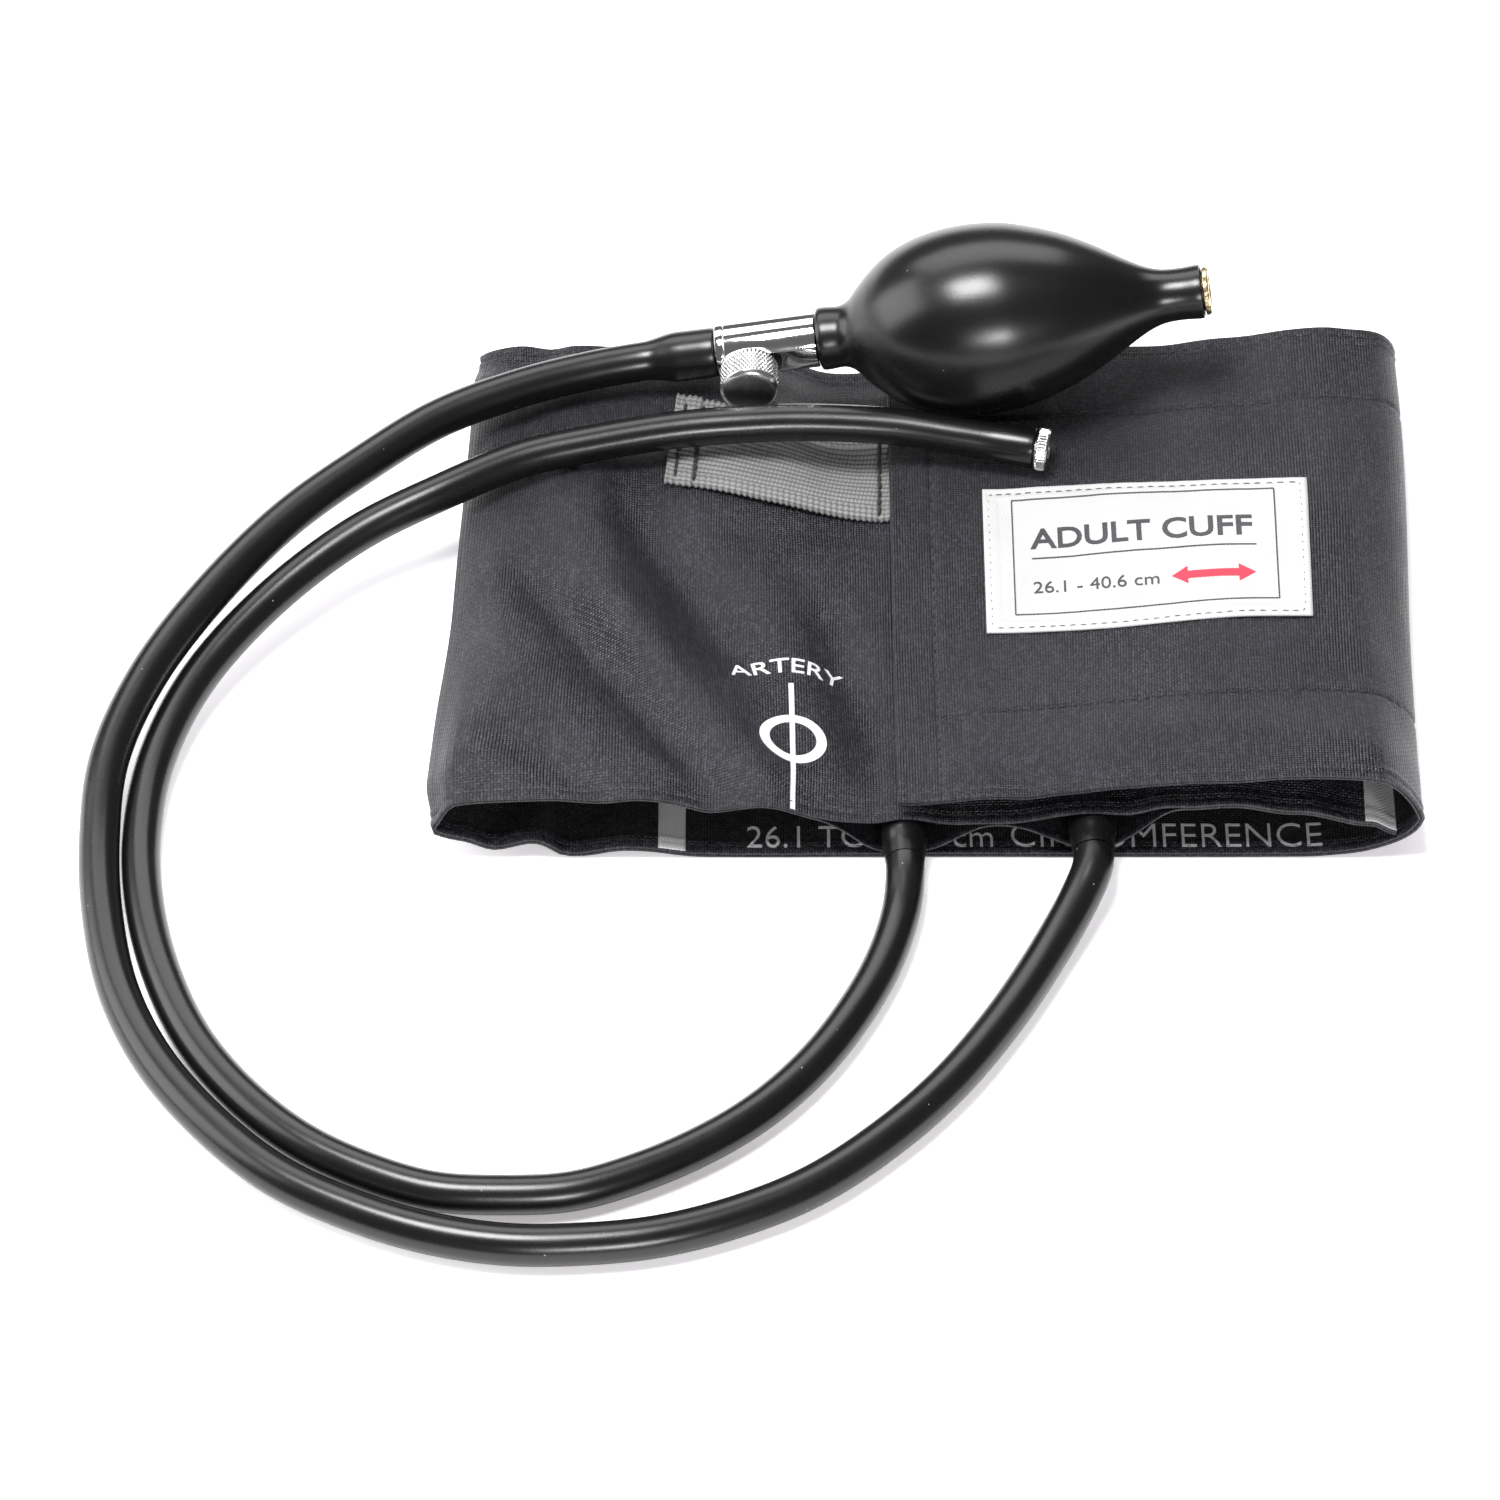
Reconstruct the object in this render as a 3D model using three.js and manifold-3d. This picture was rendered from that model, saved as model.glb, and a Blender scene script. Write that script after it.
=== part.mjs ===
// Aneroid blood pressure cuff, wrapped closed and lying flat, with its squeeze bulb, release valve and two hoses.
// Millimetres, +Z up. X runs along the wrap to the right, Y runs away from the hose side.
// The origin is the centre of the cuff's underside, on the surface that it lies on.
import * as THREE from "three";
import { mergeVertices } from "three/addons/utils/BufferGeometryUtils.js";
import Module from "manifold-3d";

const wasm = await Module();
wasm.setup();

// ---- driving dimensions ----
const CUFF_DEPTH = 145; // width of the band, front edge to back edge
const BLADDER_DEPTH = 120;
const FABRIC = 0.5; // outer nylon
const LINING = 0.4; // inner nylon
const GAP = 0.3; // play between touching pieces
const BLADDER = 1.2; // both rubber walls, deflated
const PLAIN_BUILD = 1.3; // lining and outer nylon together, where there is no bladder
const BLADDER_BUILD = 2.8; // the same with the bladder between them
const BUILD_RAMP = 12; // length over which one becomes the other
const RIBBON_STEP = 2.5; // closest spacing of the facets along the wrap
const LEAST_BULGE = 0.03; // a facet line is left out where it would stand off its neighbours by less

const GAUGE_HOSE_RADIUS = 4.3;
const BULB_HOSE_RADIUS = 4.5;
const HOSE_SIDES = 10;
const HOSE_STEPS = 36;
const ROUND = 24; // sides of a small turned piece
const BULB_ROUND = 28;

const BULB_CENTRE = new THREE.Vector3(13, 59, 35.7);
const BULB_TILT = THREE.MathUtils.degToRad(10); // the tail points up by this
const BULB_WALL = 2.4;
const NECK_BORE = 5;
const TAIL_BORE = 4.7;

const VALVE_RADIUS = 6.3;
const VALVE_LEFT = -60; // ends of the bare barrel, measured along the bulb's axis from its widest place
const VALVE_RIGHT = -36.8;
const SPIGOT_LENGTH = 12;
const NEEDLE_X = -52.7; // where the thumbscrew crosses the barrel
const KNOB_RADIUS = 6.7;
const KNOB_BACK = 6.6; // distance of the knob's back face from the barrel's axis
const KNOB_LENGTH = 7.8;
const STEM_RADIUS = 1.5;
const BALL_RADIUS = 1.8;
const SEAT_RADIUS = 1.2;

// ---- finishes ----
const finish = (color, roughness, metalness = 0) =>
  new THREE.MeshStandardMaterial({ color, roughness, metalness });
const NYLON = finish(0x2a282d, 0.85);
const LINING_NYLON = finish(0x18171a, 0.9);
const HOOK_AND_LOOP = finish(0x161618, 1.0);
const WEBBING = finish(0x9b9ba0, 0.8);
const SATIN_WHITE = finish(0xeeeeec, 0.7);
const SATIN_GREY = finish(0xa9a9ad, 0.6);
const RUBBER = finish(0x1c1d1e, 0.35);
const BLADDER_RUBBER = finish(0x252525, 0.7);
const CHROME = finish(0xdcdcdc, 0.08, 1);
const BRIGHT_METAL = finish(0xc9cacc, 0.3, 1);
const BRASS = finish(0xc2a35a, 0.3, 1);

// ---- shared helpers ----
const group = new THREE.Group();

function add(name, geometry, material, parent = group) {
  const mesh = new THREE.Mesh(geometry, material);
  mesh.name = name;
  parent.add(mesh);
  return mesh;
}

function solidOf(geometry) {
  const bare = geometry.clone();
  bare.deleteAttribute("normal");
  bare.deleteAttribute("uv");
  const merged = mergeVertices(bare, 1e-4);
  return new wasm.Manifold(
    new wasm.Mesh({
      numProp: 3,
      vertProperties: new Float32Array(merged.attributes.position.array),
      triVerts: new Uint32Array(merged.index.array),
    }),
  );
}

function geometryOf(solid) {
  const mesh = solid.getMesh();
  const geometry = new THREE.BufferGeometry();
  geometry.setAttribute("position", new THREE.BufferAttribute(mesh.vertProperties, 3));
  geometry.setIndex(new THREE.BufferAttribute(mesh.triVerts, 1));
  geometry.computeVertexNormals();
  return geometry;
}

function cut(geometry, ...tools) {
  return geometryOf(tools.reduce((solid, tool) => solid.subtract(solidOf(tool)), solidOf(geometry)));
}

// A turned piece about the X axis. The profile is a closed loop of [x, radius] points.
function turned(profile, sides = ROUND) {
  const points = profile.map(([x, radius]) => new THREE.Vector2(radius, x));
  points.push(points[0].clone());
  const area = points.reduce((sum, p, i) => {
    const next = points[(i + 1) % points.length];
    return sum + p.x * next.y - next.x * p.y;
  }, 0);
  if (area < 0) points.reverse();
  return new THREE.LatheGeometry(points, sides).rotateZ(-Math.PI / 2);
}

function rod(radius, length, sides = ROUND) {
  return new THREE.CylinderGeometry(radius, radius, length, sides);
}

const rodX = (radius, from, to, sides) =>
  rod(radius, to - from, sides).rotateZ(-Math.PI / 2).translate((from + to) / 2, 0, 0);

const smooth = (t) => {
  const s = THREE.MathUtils.clamp(t, 0, 1);
  return s * s * (3 - 2 * s);
};

// ---- the wrap: one closed spiral, followed by its face on the arm side ----
// From the inner end (right, inside) along the top, round the left fold, along the underside,
// round the right fold and back over the top as the flap. Points are [x, z].
const ARM_FACE = [
  [102, 7], [60, 6.9], [20, 6.8], [-8, 7.3], [-30, 10.2], [-55, 13.4], [-80, 14.3], [-95, 13.2],
  [-102.4, 10.9], [-104.3, 9.2], [-102, 7.6], [-94, 5.4], [-84, 3.6], [-76, 2.8], [-62, 2.8],
  [-50, 1.3], [0, 1.3], [76, 1.3], [86, 1.6], [96, 3.4], [103.6, 7.2], [106.2, 12], [103.4, 17],
  [96, 20.3], [86, 21.3], [70, 20.5], [56, 18.4], [42, 15.6], [30, 13.4], [15, 11.8], [0, 12], [-7, 12.3],
].map(([x, z]) => new THREE.Vector3(x, 0, z));
const armFace = new THREE.CatmullRomCurve3(ARM_FACE, false, "centripetal");
armFace.arcLengthDivisions = 2000;
const WRAP_LENGTH = armFace.getLength();

// Distance along the wrap of the place nearest to a point.
function stationNear(x, z) {
  const target = new THREE.Vector3(x, 0, z);
  let best = 0;
  let nearest = Infinity;
  for (let station = 0; station <= WRAP_LENGTH; station += 0.5) {
    const distance = armFace.getPointAt(station / WRAP_LENGTH).distanceTo(target);
    if (distance < nearest) {
      nearest = distance;
      best = station;
    }
  }
  return best;
}

const BLADDER_START = 14;
const BLADDER_END = stationNear(-62, 2.8);

// Full thickness of lining, bladder and outer nylon at a station.
function build(station) {
  const past = Math.max(station - BLADDER_END, 0) / BUILD_RAMP;
  return THREE.MathUtils.lerp(BLADDER_BUILD, PLAIN_BUILD, smooth(past));
}

// A point of the wrap at a height off the arm face, kept on or above the table.
function wrapPoint(station, height) {
  const along = THREE.MathUtils.clamp(station / WRAP_LENGTH, 0, 1);
  const place = armFace.getPointAt(along);
  const tangent = armFace.getTangentAt(along);
  return new THREE.Vector2(
    place.x + tangent.z * height,
    Math.max(place.z - tangent.x * height, 0),
  );
}

// How far the layers' outer face stands off its chord at a station.
function bulge(before, station, after) {
  const [a, p, b] = [before, station, after].map((s) => wrapPoint(s, build(s)));
  const chord = b.clone().sub(a);
  return Math.abs(chord.cross(p.sub(a))) / chord.length();
}

// Facet lines that all layers share, so that they stay parallel: none where the wrap runs straight.
const FACET_LINES = [];
for (let station = RIBBON_STEP; station < WRAP_LENGTH - RIBBON_STEP; station += RIBBON_STEP) {
  const before = FACET_LINES.at(-1) ?? 0;
  if (bulge(before, station, station + RIBBON_STEP) > LEAST_BULGE) FACET_LINES.push(station);
}

function stationsBetween(from, to) {
  const margin = RIBBON_STEP / 5;
  return [from, ...FACET_LINES.filter((s) => s > from + margin && s < to - margin), to];
}

// A strip of the wrap between two stations and two heights, from y = front to y = back.
function wrapStrip(from, to, low, high, front, back) {
  const heightAt = (height, station) => (typeof height === "function" ? height(station) : height);
  const stations = stationsBetween(from, to);
  const near = stations.map((station) => wrapPoint(station, heightAt(low, station)));
  const far = stations.map((station) => wrapPoint(station, heightAt(high, station)));
  const shape = new THREE.Shape([...near, ...far.reverse()]);
  return new THREE.ExtrudeGeometry(shape, { depth: back - front, bevelEnabled: false })
    .rotateX(Math.PI / 2)
    .translate(0, back, 0);
}

const FRONT = -CUFF_DEPTH / 2;
const BACK = CUFF_DEPTH / 2;
const PORT_BACK = -BLADDER_DEPTH / 2 - GAP;

// The two bladder necks: centre and radius of each, running straight out of the front edge.
const GAUGE_PORT = { x: -5, z: 7, radius: 4.9, end: -79 };
const BULB_PORT = { x: 36, z: 8.8, radius: 5.1, end: -78 };

// Room that a sheet leaves round a neck.
function portNotch(port) {
  const depth = PORT_BACK - FRONT + 2;
  return new THREE.BoxGeometry(2 * (port.radius + GAP), depth, 40)
    .translate(port.x, PORT_BACK + GAP - depth / 2, port.z);
}

function addWrap() {
  const notches = [portNotch(GAUGE_PORT), portNotch(BULB_PORT)];
  const leftFold = [stationNear(-88, 14), stationNear(-76, 2.8)];
  const rightFold = [stationNear(80, 1.4), stationNear(88, 21.2)];
  const outerLow = (station) => build(station) - FABRIC;

  const panels = [
    ["outer_bladder_panel", 0, leftFold[0] - GAP],
    ["outer_left_fold", leftFold[0], leftFold[1] - GAP],
    ["outer_bottom_panel", leftFold[1], rightFold[0] - GAP],
    ["outer_right_fold", rightFold[0], rightFold[1] - GAP],
    ["outer_flap_panel", rightFold[1], WRAP_LENGTH],
  ];
  for (const [name, from, to] of panels) {
    const strip = wrapStrip(from, to, outerLow, build, FRONT, BACK);
    add(name, name === "outer_bladder_panel" ? cut(strip, ...notches) : strip, NYLON);
  }
  // The necks pass through the lining of the top run only, so the cuts stop short of the underside.
  const liningRun = wrapStrip(0, WRAP_LENGTH, 0, LINING, FRONT, BACK);
  const topRun = notches.map((notch) => {
    const box = new THREE.Box3().setFromBufferAttribute(notch.attributes.position);
    const size = box.getSize(new THREE.Vector3());
    return new THREE.BoxGeometry(size.x, size.y, 7).translate(
      (box.min.x + box.max.x) / 2,
      (box.min.y + box.max.y) / 2,
      7,
    );
  });
  add("inner_lining", cut(liningRun, ...topRun), LINING_NYLON);
  add(
    "bladder",
    wrapStrip(BLADDER_START, BLADDER_END, LINING + GAP, LINING + GAP + BLADDER, -BLADDER_DEPTH / 2, BLADDER_DEPTH / 2),
    BLADDER_RUBBER,
  );
}

function addPort(name, port) {
  const bore = 2.2;
  const collar = port.end + 4;
  const profile = [
    [-PORT_BACK, bore], [-PORT_BACK, port.radius - 0.3], [-PORT_BACK + 3, port.radius],
    [-collar, port.radius], [-port.end - 1.5, 4.7], [-port.end, 4.4], [-port.end, bore],
  ];
  add(name, turned(profile).rotateZ(-Math.PI / 2).translate(port.x, 0, port.z), RUBBER);
}

function addTrim() {
  const patchFront = -45;
  const patchBack = 50;
  const loopLow = BLADDER_BUILD + GAP;
  const loop = [stationNear(93, 6.9), stationNear(3, 6.9)];
  add("loop_patch", wrapStrip(loop[0], loop[1], loopLow, loopLow + 0.7, patchFront, patchBack), HOOK_AND_LOOP);

  const hook = [stationNear(97, 20), stationNear(3, 12)];
  add("hook_patch", wrapStrip(hook[0], hook[1], -GAP - 0.5, -GAP, patchFront, patchBack), HOOK_AND_LOOP);

  const labelLow = PLAIN_BUILD + GAP;
  const label = [stationNear(85.5, 21.3), stationNear(14.5, 11.8)];
  add("size_label", wrapStrip(label[0], label[1], labelLow, labelLow + 0.4, -20, 24), SATIN_WHITE);

  const indexWidth = 7;
  add("index_tape", wrapStrip(0, indexWidth, BLADDER_BUILD + GAP, BLADDER_BUILD + 2 * GAP, FRONT, BACK), SATIN_WHITE);

  const range = [stationNear(-59, 2.6), stationNear(-53, 1.6)];
  add("range_tape", wrapStrip(range[0], range[1], -2 * GAP, -GAP, FRONT, BACK), SATIN_GREY);
}

// Webbing loop for the gauge: sewn down at both ends, bowed a little between, slightly askew.
function addGaugeStrap() {
  const bow = 2.2;
  const thickness = 1.2;
  const skew = 0.14;
  const [from, to] = [stationNear(-9.5, 7.4), stationNear(-56, 13.4)];
  const lift = (station) => {
    const along = (station - from) / (to - from);
    return BLADDER_BUILD + GAP + bow * Math.sin(Math.PI * along);
  };
  const strap = wrapStrip(from, to, lift, (station) => lift(station) + thickness, 20.5, 46);
  const slant = new THREE.Matrix4().set(1, 0, 0, 0, -skew, 1, 0, -skew * 9.5, 0, 0, 1, 0, 0, 0, 0, 1);
  add("gauge_strap", strap.applyMatrix4(slant), WEBBING);
}

// ---- hoses ----
const GAUGE_ROUTE = [
  [-5, -79.6, 7], [-5, -83, 6.8], [-6, -92, 5.3], [-10, -106, 4.6], [-17, -121, 4.5], [-26, -135, 4.5], [-37, -147, 4.5],
  [-49, -156, 4.5], [-62, -163, 4.5], [-76, -168, 4.5], [-90, -169, 4.5], [-105, -168, 4.5],
  [-119, -163, 4.5], [-133, -155, 4.5], [-146, -143, 4.5], [-157, -128, 4.5], [-165, -110, 4.5],
  [-170, -91, 4.6], [-172, -71, 4.9], [-170, -49, 6], [-162, -27, 8.2], [-147, -7, 12.2],
  [-128, 9, 16.8], [-109, 19, 20.2], [-91, 28, 21.6], [-73, 33, 22.2], [-55, 36.6, 22.6],
  [-41, 38, 22.8], [-27, 38.8, 22.7], [-6, 38.1, 22.1], [9, 35.8, 21.3], [18, 34.3, 20.8], [26.2, 32.6, 20.6],
];
const BULB_ROUTE = [
  [36, -78.6, 8.8], [35.8, -82, 8.5], [33, -89, 6.9], [27, -101, 5.2], [16, -121, 4.7], [3, -140, 4.7], [-11, -155, 4.7],
  [-26, -167, 4.7], [-42, -175, 4.7], [-58, -180, 4.7], [-74, -182, 4.7], [-90, -182, 4.7],
  [-106, -179, 4.7], [-122, -173, 4.7], [-138, -164, 4.7], [-152, -151, 4.7], [-165, -134, 4.7],
  [-174, -115, 4.8], [-179, -94, 5.4], [-181, -73, 6.8], [-180, -52, 9.6], [-173, -31, 12.8],
  [-161, -10, 15.6], [-144, 12, 18.4], [-127, 27.5, 20.4], [-110, 41, 21.7], [-92, 50, 22.3],
  [-75, 56, 22.3], [-61, 59, 22.7], [-46.4, 59, 25.22],
];

function hose(route, radius) {
  const path = new THREE.CatmullRomCurve3(route.map((p) => new THREE.Vector3(...p)), false, "centripetal");
  const section = new THREE.Shape();
  for (let i = 0; i < HOSE_SIDES; i++) {
    const angle = (2 * Math.PI * i) / HOSE_SIDES;
    const point = [radius * Math.cos(angle), radius * Math.sin(angle)];
    i ? section.lineTo(...point) : section.moveTo(...point);
  }
  section.closePath();
  return new THREE.ExtrudeGeometry(section, { steps: HOSE_STEPS, extrudePath: path });
}

// ---- gauge connector: barbed tail in the hose, knurled flange and a tapered socket ----
const CONNECTOR_YAW = THREE.MathUtils.degToRad(-12);
const CONNECTOR_BARB = 11;

function placeConnector(geometry) {
  return geometry.rotateZ(CONNECTOR_YAW).translate(...GAUGE_ROUTE.at(-1));
}

function addGaugeHose() {
  const bore = placeConnector(rodX(3.1, -CONNECTOR_BARB - GAP, 2));
  add("gauge_hose", cut(hose(GAUGE_ROUTE, GAUGE_HOSE_RADIUS), bore), RUBBER);
  const flange = 5;
  const end = 3.2;
  const profile = [
    [-CONNECTOR_BARB, 1.2], [-CONNECTOR_BARB, 2.2], [-CONNECTOR_BARB + 3.5, 2.8], [-CONNECTOR_BARB + 3.6, 2.3],
    [-3.6, 2.8], [-3.5, 2.3], [GAP, 2.3], [GAP, flange - 0.3], [GAP + 0.3, flange], [end - 0.3, flange],
    [end, flange - 0.3], [end, 2.1], [-2, 1.9], [-2, 1.2],
  ];
  add("gauge_connector", placeConnector(turned(profile)), BRIGHT_METAL);
}

// ---- inflator: everything on the bulb's tilted axis ----
const inflator = new THREE.Group();
inflator.position.copy(BULB_CENTRE);
inflator.rotation.y = -BULB_TILT;
group.add(inflator);

function placeInflator(geometry) {
  return geometry.rotateY(-BULB_TILT).translate(...BULB_CENTRE.toArray());
}

function addBulbHose() {
  const bore = placeInflator(rodX(3.75, VALVE_LEFT - SPIGOT_LENGTH - GAP, VALVE_LEFT + 3));
  add("bulb_hose", cut(hose(BULB_ROUTE, BULB_HOSE_RADIUS), bore), RUBBER);
}

// Teardrop shell, open at the neck and at the tail, as [distance from the widest place, radius].
const BULB_OUTLINE = [
  [-30.4, 7.2], [-28.6, 8], [-26.7, 10], [-23.2, 13.9], [-19.7, 16.8], [-12.8, 19.8], [-5.8, 21.4], [0.5, 21.9],
  [8.1, 21.3], [15.1, 19.6], [22, 17.2], [29, 13.5], [36, 9.3], [39.4, 7.3], [42.9, 6.2],
];

function addBulb() {
  const tail = 52.2;
  const outside = [[VALVE_RIGHT + GAP, 7.1], ...BULB_OUTLINE, [tail, 6.1]];
  const chamber = BULB_OUTLINE.slice(3, -3).map(([x, radius]) => [x * 0.96, radius - BULB_WALL]);
  const inside = [
    [VALVE_RIGHT + GAP, NECK_BORE], [-25, NECK_BORE], ...chamber, [38, TAIL_BORE], [tail, TAIL_BORE],
  ];
  add("bulb_shell", turned([...outside, ...inside.reverse()], BULB_ROUND), RUBBER, inflator);
}

// Chromed barrel: hose spigot, bore, side chamber for the needle, and a counterbore for the outlet valve.
function addValveBody() {
  const tip = VALVE_LEFT - SPIGOT_LENGTH;
  const cage = VALVE_RIGHT + 2.8;
  const face = VALVE_RIGHT + 10.8;
  const profile = [
    [tip, 1.4], [tip, 2.6], [tip + 4, 3.4], [tip + 4.1, 2.8], [tip + 8, 3.4], [tip + 8.1, 2.8],
    [VALVE_LEFT, 2.8], [VALVE_LEFT, VALVE_RADIUS - 0.4], [VALVE_LEFT + 0.4, VALVE_RADIUS],
    [VALVE_RIGHT - 0.2, VALVE_RADIUS], [VALVE_RIGHT, VALVE_RADIUS - 0.2], [VALVE_RIGHT, 4.7],
    [face, 4.5], [face, 3.3], [cage, 3.3], [cage, SEAT_RADIUS], [tip + 1, SEAT_RADIUS],
  ];
  const chamber = rod(2.9, 6).translate(NEEDLE_X, -5.2, 0);
  const orifice = rod(1.1, 3).translate(NEEDLE_X, -1.5, 0);
  const vent = rod(0.5, 10, 12).rotateX(Math.PI / 2).translate(NEEDLE_X, -3.6, -5);
  add("valve_body", cut(turned(profile, 32), chamber, orifice, vent), CHROME, inflator);
}

// Thumbscrew: the knob, its needle, the seal that slides with it and the bush that it turns in.
// Their profiles are measured outwards from the barrel's axis.
function addThumbscrew() {
  const outwards = (profile, sides) => turned(profile, sides).rotateZ(-Math.PI / 2).translate(NEEDLE_X, 0, 0);
  const front = KNOB_BACK + KNOB_LENGTH;
  const socket = KNOB_BACK + 5;
  const knob = [
    [KNOB_BACK, STEM_RADIUS + GAP], [KNOB_BACK, KNOB_RADIUS - 0.4], [KNOB_BACK + 0.4, KNOB_RADIUS],
    [front - 0.8, KNOB_RADIUS], [front, KNOB_RADIUS - 0.8], [front, 0], [socket, 0], [socket, STEM_RADIUS + GAP],
  ];
  add("valve_knob", outwards(knob, 36), BRIGHT_METAL, inflator);
  const needle = [[1.6, 0], [1.6, 0.35], [2.75, STEM_RADIUS], [socket - GAP, STEM_RADIUS], [socket - GAP, 0]];
  add("needle_stem", outwards(needle), BRIGHT_METAL, inflator);
  const bush = [[4.8, 1.6], [4.8, 2.6], [6.2, 2.6], [6.2, 1.6]];
  add("gland_bush", outwards(bush), BRASS, inflator);
  const seal = [[2.8, 1.6], [2.65, 2.1], [2.8, 2.5], [3.15, 2.6], [3.4, 2.3], [3.4, 1.6]];
  add("stem_seal", outwards(seal), RUBBER, inflator);
}

// A ball that closes on the rim of a seat hole whose face is at x, from the side of smaller x.
function addBall(name, seatFace) {
  const reach = Math.sqrt(BALL_RADIUS ** 2 - SEAT_RADIUS ** 2) + 0.08;
  add(name, new THREE.SphereGeometry(BALL_RADIUS, 16, 12).translate(seatFace - reach, 0, 0), BRIGHT_METAL, inflator);
}

function addOutletValve() {
  const face = -28.5;
  add("outlet_seat", turned([[face, SEAT_RADIUS], [face, 3], [face + 2.2, 3], [face + 2.2, SEAT_RADIUS]]), BRASS, inflator);
  addBall("outlet_ball", face);
}

// Brass inlet valve in the bulb's tail: body, ball, retainer ring behind it and a gauze disc at its mouth.
function addInletValve() {
  const inner = 42;
  const seat = 49.5;
  const flange = 52.5;
  const mouth = 53.8;
  const body = [
    [inner, 2.7], [inner, 4.3], [flange, 4.3], [flange, 5.6], [mouth - 0.3, 5.6], [mouth, 5.3], [mouth, 3.4],
    [flange + 0.1, 3.4], [flange + 0.1, SEAT_RADIUS], [seat, SEAT_RADIUS], [seat, 2.7],
  ];
  add("inlet_valve_body", turned(body), BRASS, inflator);
  addBall("inlet_ball", seat);
  const ring = inner + 0.4;
  add("inlet_retainer", turned([[ring, 1], [ring, 2.4], [ring + 1, 2.4], [ring + 1, 1]]), BRASS, inflator);
  const gauze = flange + 0.1 + GAP;
  add("inlet_filter", turned([[gauze, 0], [gauze, 3.1], [gauze + 0.5, 3.1], [gauze + 0.5, 0]]), BRASS, inflator);
}

addWrap();
addPort("gauge_port", GAUGE_PORT);
addPort("bulb_port", BULB_PORT);
addTrim();
addGaugeStrap();
addGaugeHose();
addBulbHose();
addBulb();
addValveBody();
addThumbscrew();
addOutletValve();
addInletValve();

export default group;
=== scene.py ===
"""Looks of the blood pressure cuff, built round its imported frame.

Axes are the frame's: +Z up, +X along the wrap, -Y towards the edge that the hoses leave. Shapes are worked
out in millimetres and turned to metres when a mesh is made.
"""

import math

import bmesh
import bpy
import numpy as np
from mathutils import Matrix, Vector


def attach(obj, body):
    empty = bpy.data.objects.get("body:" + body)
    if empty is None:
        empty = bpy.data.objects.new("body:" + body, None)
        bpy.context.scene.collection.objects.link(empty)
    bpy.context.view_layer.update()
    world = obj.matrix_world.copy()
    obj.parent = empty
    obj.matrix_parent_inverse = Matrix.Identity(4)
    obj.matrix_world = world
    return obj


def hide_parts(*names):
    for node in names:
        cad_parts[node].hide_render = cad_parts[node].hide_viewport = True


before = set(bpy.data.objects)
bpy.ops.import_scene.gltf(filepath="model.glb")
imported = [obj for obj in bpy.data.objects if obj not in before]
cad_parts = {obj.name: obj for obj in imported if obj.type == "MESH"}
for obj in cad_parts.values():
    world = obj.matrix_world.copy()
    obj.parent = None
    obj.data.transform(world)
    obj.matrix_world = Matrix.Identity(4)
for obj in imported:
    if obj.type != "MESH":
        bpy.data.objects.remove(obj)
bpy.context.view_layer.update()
MM = 0.001

# ---- sizes in millimetres, as the CAD part has them ----
HALF_DEPTH = 72.5
FABRIC = 0.5
LINING = 0.4
PLAIN_BUILD = 1.1
BLADDER_BUILD = 2.8
BUILD_RAMP = 12
BLADDER_HALF_DEPTH = 60
GAUGE_HOSE_RADIUS = 4.3
BULB_HOSE_RADIUS = 4.5
GAUGE_PORT = {"x": -5, "z": 7, "radius": 4.9, "end": -79}
BULB_PORT = {"x": 36, "z": 8.8, "radius": 5.1, "end": -78}
BULB_CENTRE = (13, 59, 35.7)
BULB_TILT = 10
BULB_WALL = 2.4
VALVE_RADIUS = 6.3
VALVE_LEFT = -60
VALVE_RIGHT = -36.8
NEEDLE_X = -52.7
KNOB_RADIUS = 6.7
KNOB_BACK = 6.6
KNOB_FRONT = 14.4
KNOB_SOCKET = 5
CONNECTOR_YAW = -12
STEM_RADIUS = 1.5
BALL_RADIUS = 1.8
SEAT_RADIUS = 1.2
OUTLET_SEAT = -28.5
INLET_SEAT = 49.5


def link(name, data):
    """An object in the scene."""
    obj = bpy.data.objects.new(name, data)
    bpy.context.scene.collection.objects.link(obj)
    return obj


# ---- camera: far off with a long lens ----
CAMERA_TARGET = Vector((-0.0388, -0.041, 0))
CAMERA_ELEVATION = math.radians(48.5)
CAMERA_DISTANCE = 1.414
CAMERA_LENS, CAMERA_SENSOR = 152.4, 36


def add_camera():
    data = bpy.data.cameras.new("camera")
    data.lens, data.sensor_width = CAMERA_LENS, CAMERA_SENSOR
    camera = link("camera", data)
    back = Vector((0, -math.cos(CAMERA_ELEVATION), math.sin(CAMERA_ELEVATION)))
    camera.location = CAMERA_TARGET + back * CAMERA_DISTANCE
    camera.rotation_euler = (math.pi / 2 - CAMERA_ELEVATION, 0, 0)
    bpy.context.scene.camera = camera


# ---- material helpers ----
def node(tree, kind, inputs=None, **settings):
    """A shader node with its settings, and with its inputs given as numbers or as other nodes' sockets."""
    made = tree.nodes.new("ShaderNode" + kind)
    for name, value in settings.items():
        setattr(made, name, value)
    for key, value in (inputs or {}).items():
        if isinstance(value, bpy.types.NodeSocket):
            tree.links.new(value, made.inputs[key])
        else:
            made.inputs[key].default_value = value
    return made


def maths(tree, operation, *values):
    return node(tree, "Math", dict(enumerate(values)), operation=operation).outputs[0]


def times(tree, *values):
    return maths(tree, "MULTIPLY", *values)


def vectors(tree, operation, *values):
    return node(tree, "VectorMath", dict(enumerate(values)), operation=operation).outputs[0]


def between(tree, share, first, second):
    """A number between two, by a share from 0 to 1."""
    return node(tree, "Mix", {0: share, 2: first, 3: second}).outputs[0]


def mixed(tree, share, first, second):
    """A colour between two, by a share from 0 to 1."""
    return node(tree, "Mix", {0: share, 6: first, 7: second}, data_type="RGBA").outputs[2]


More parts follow.
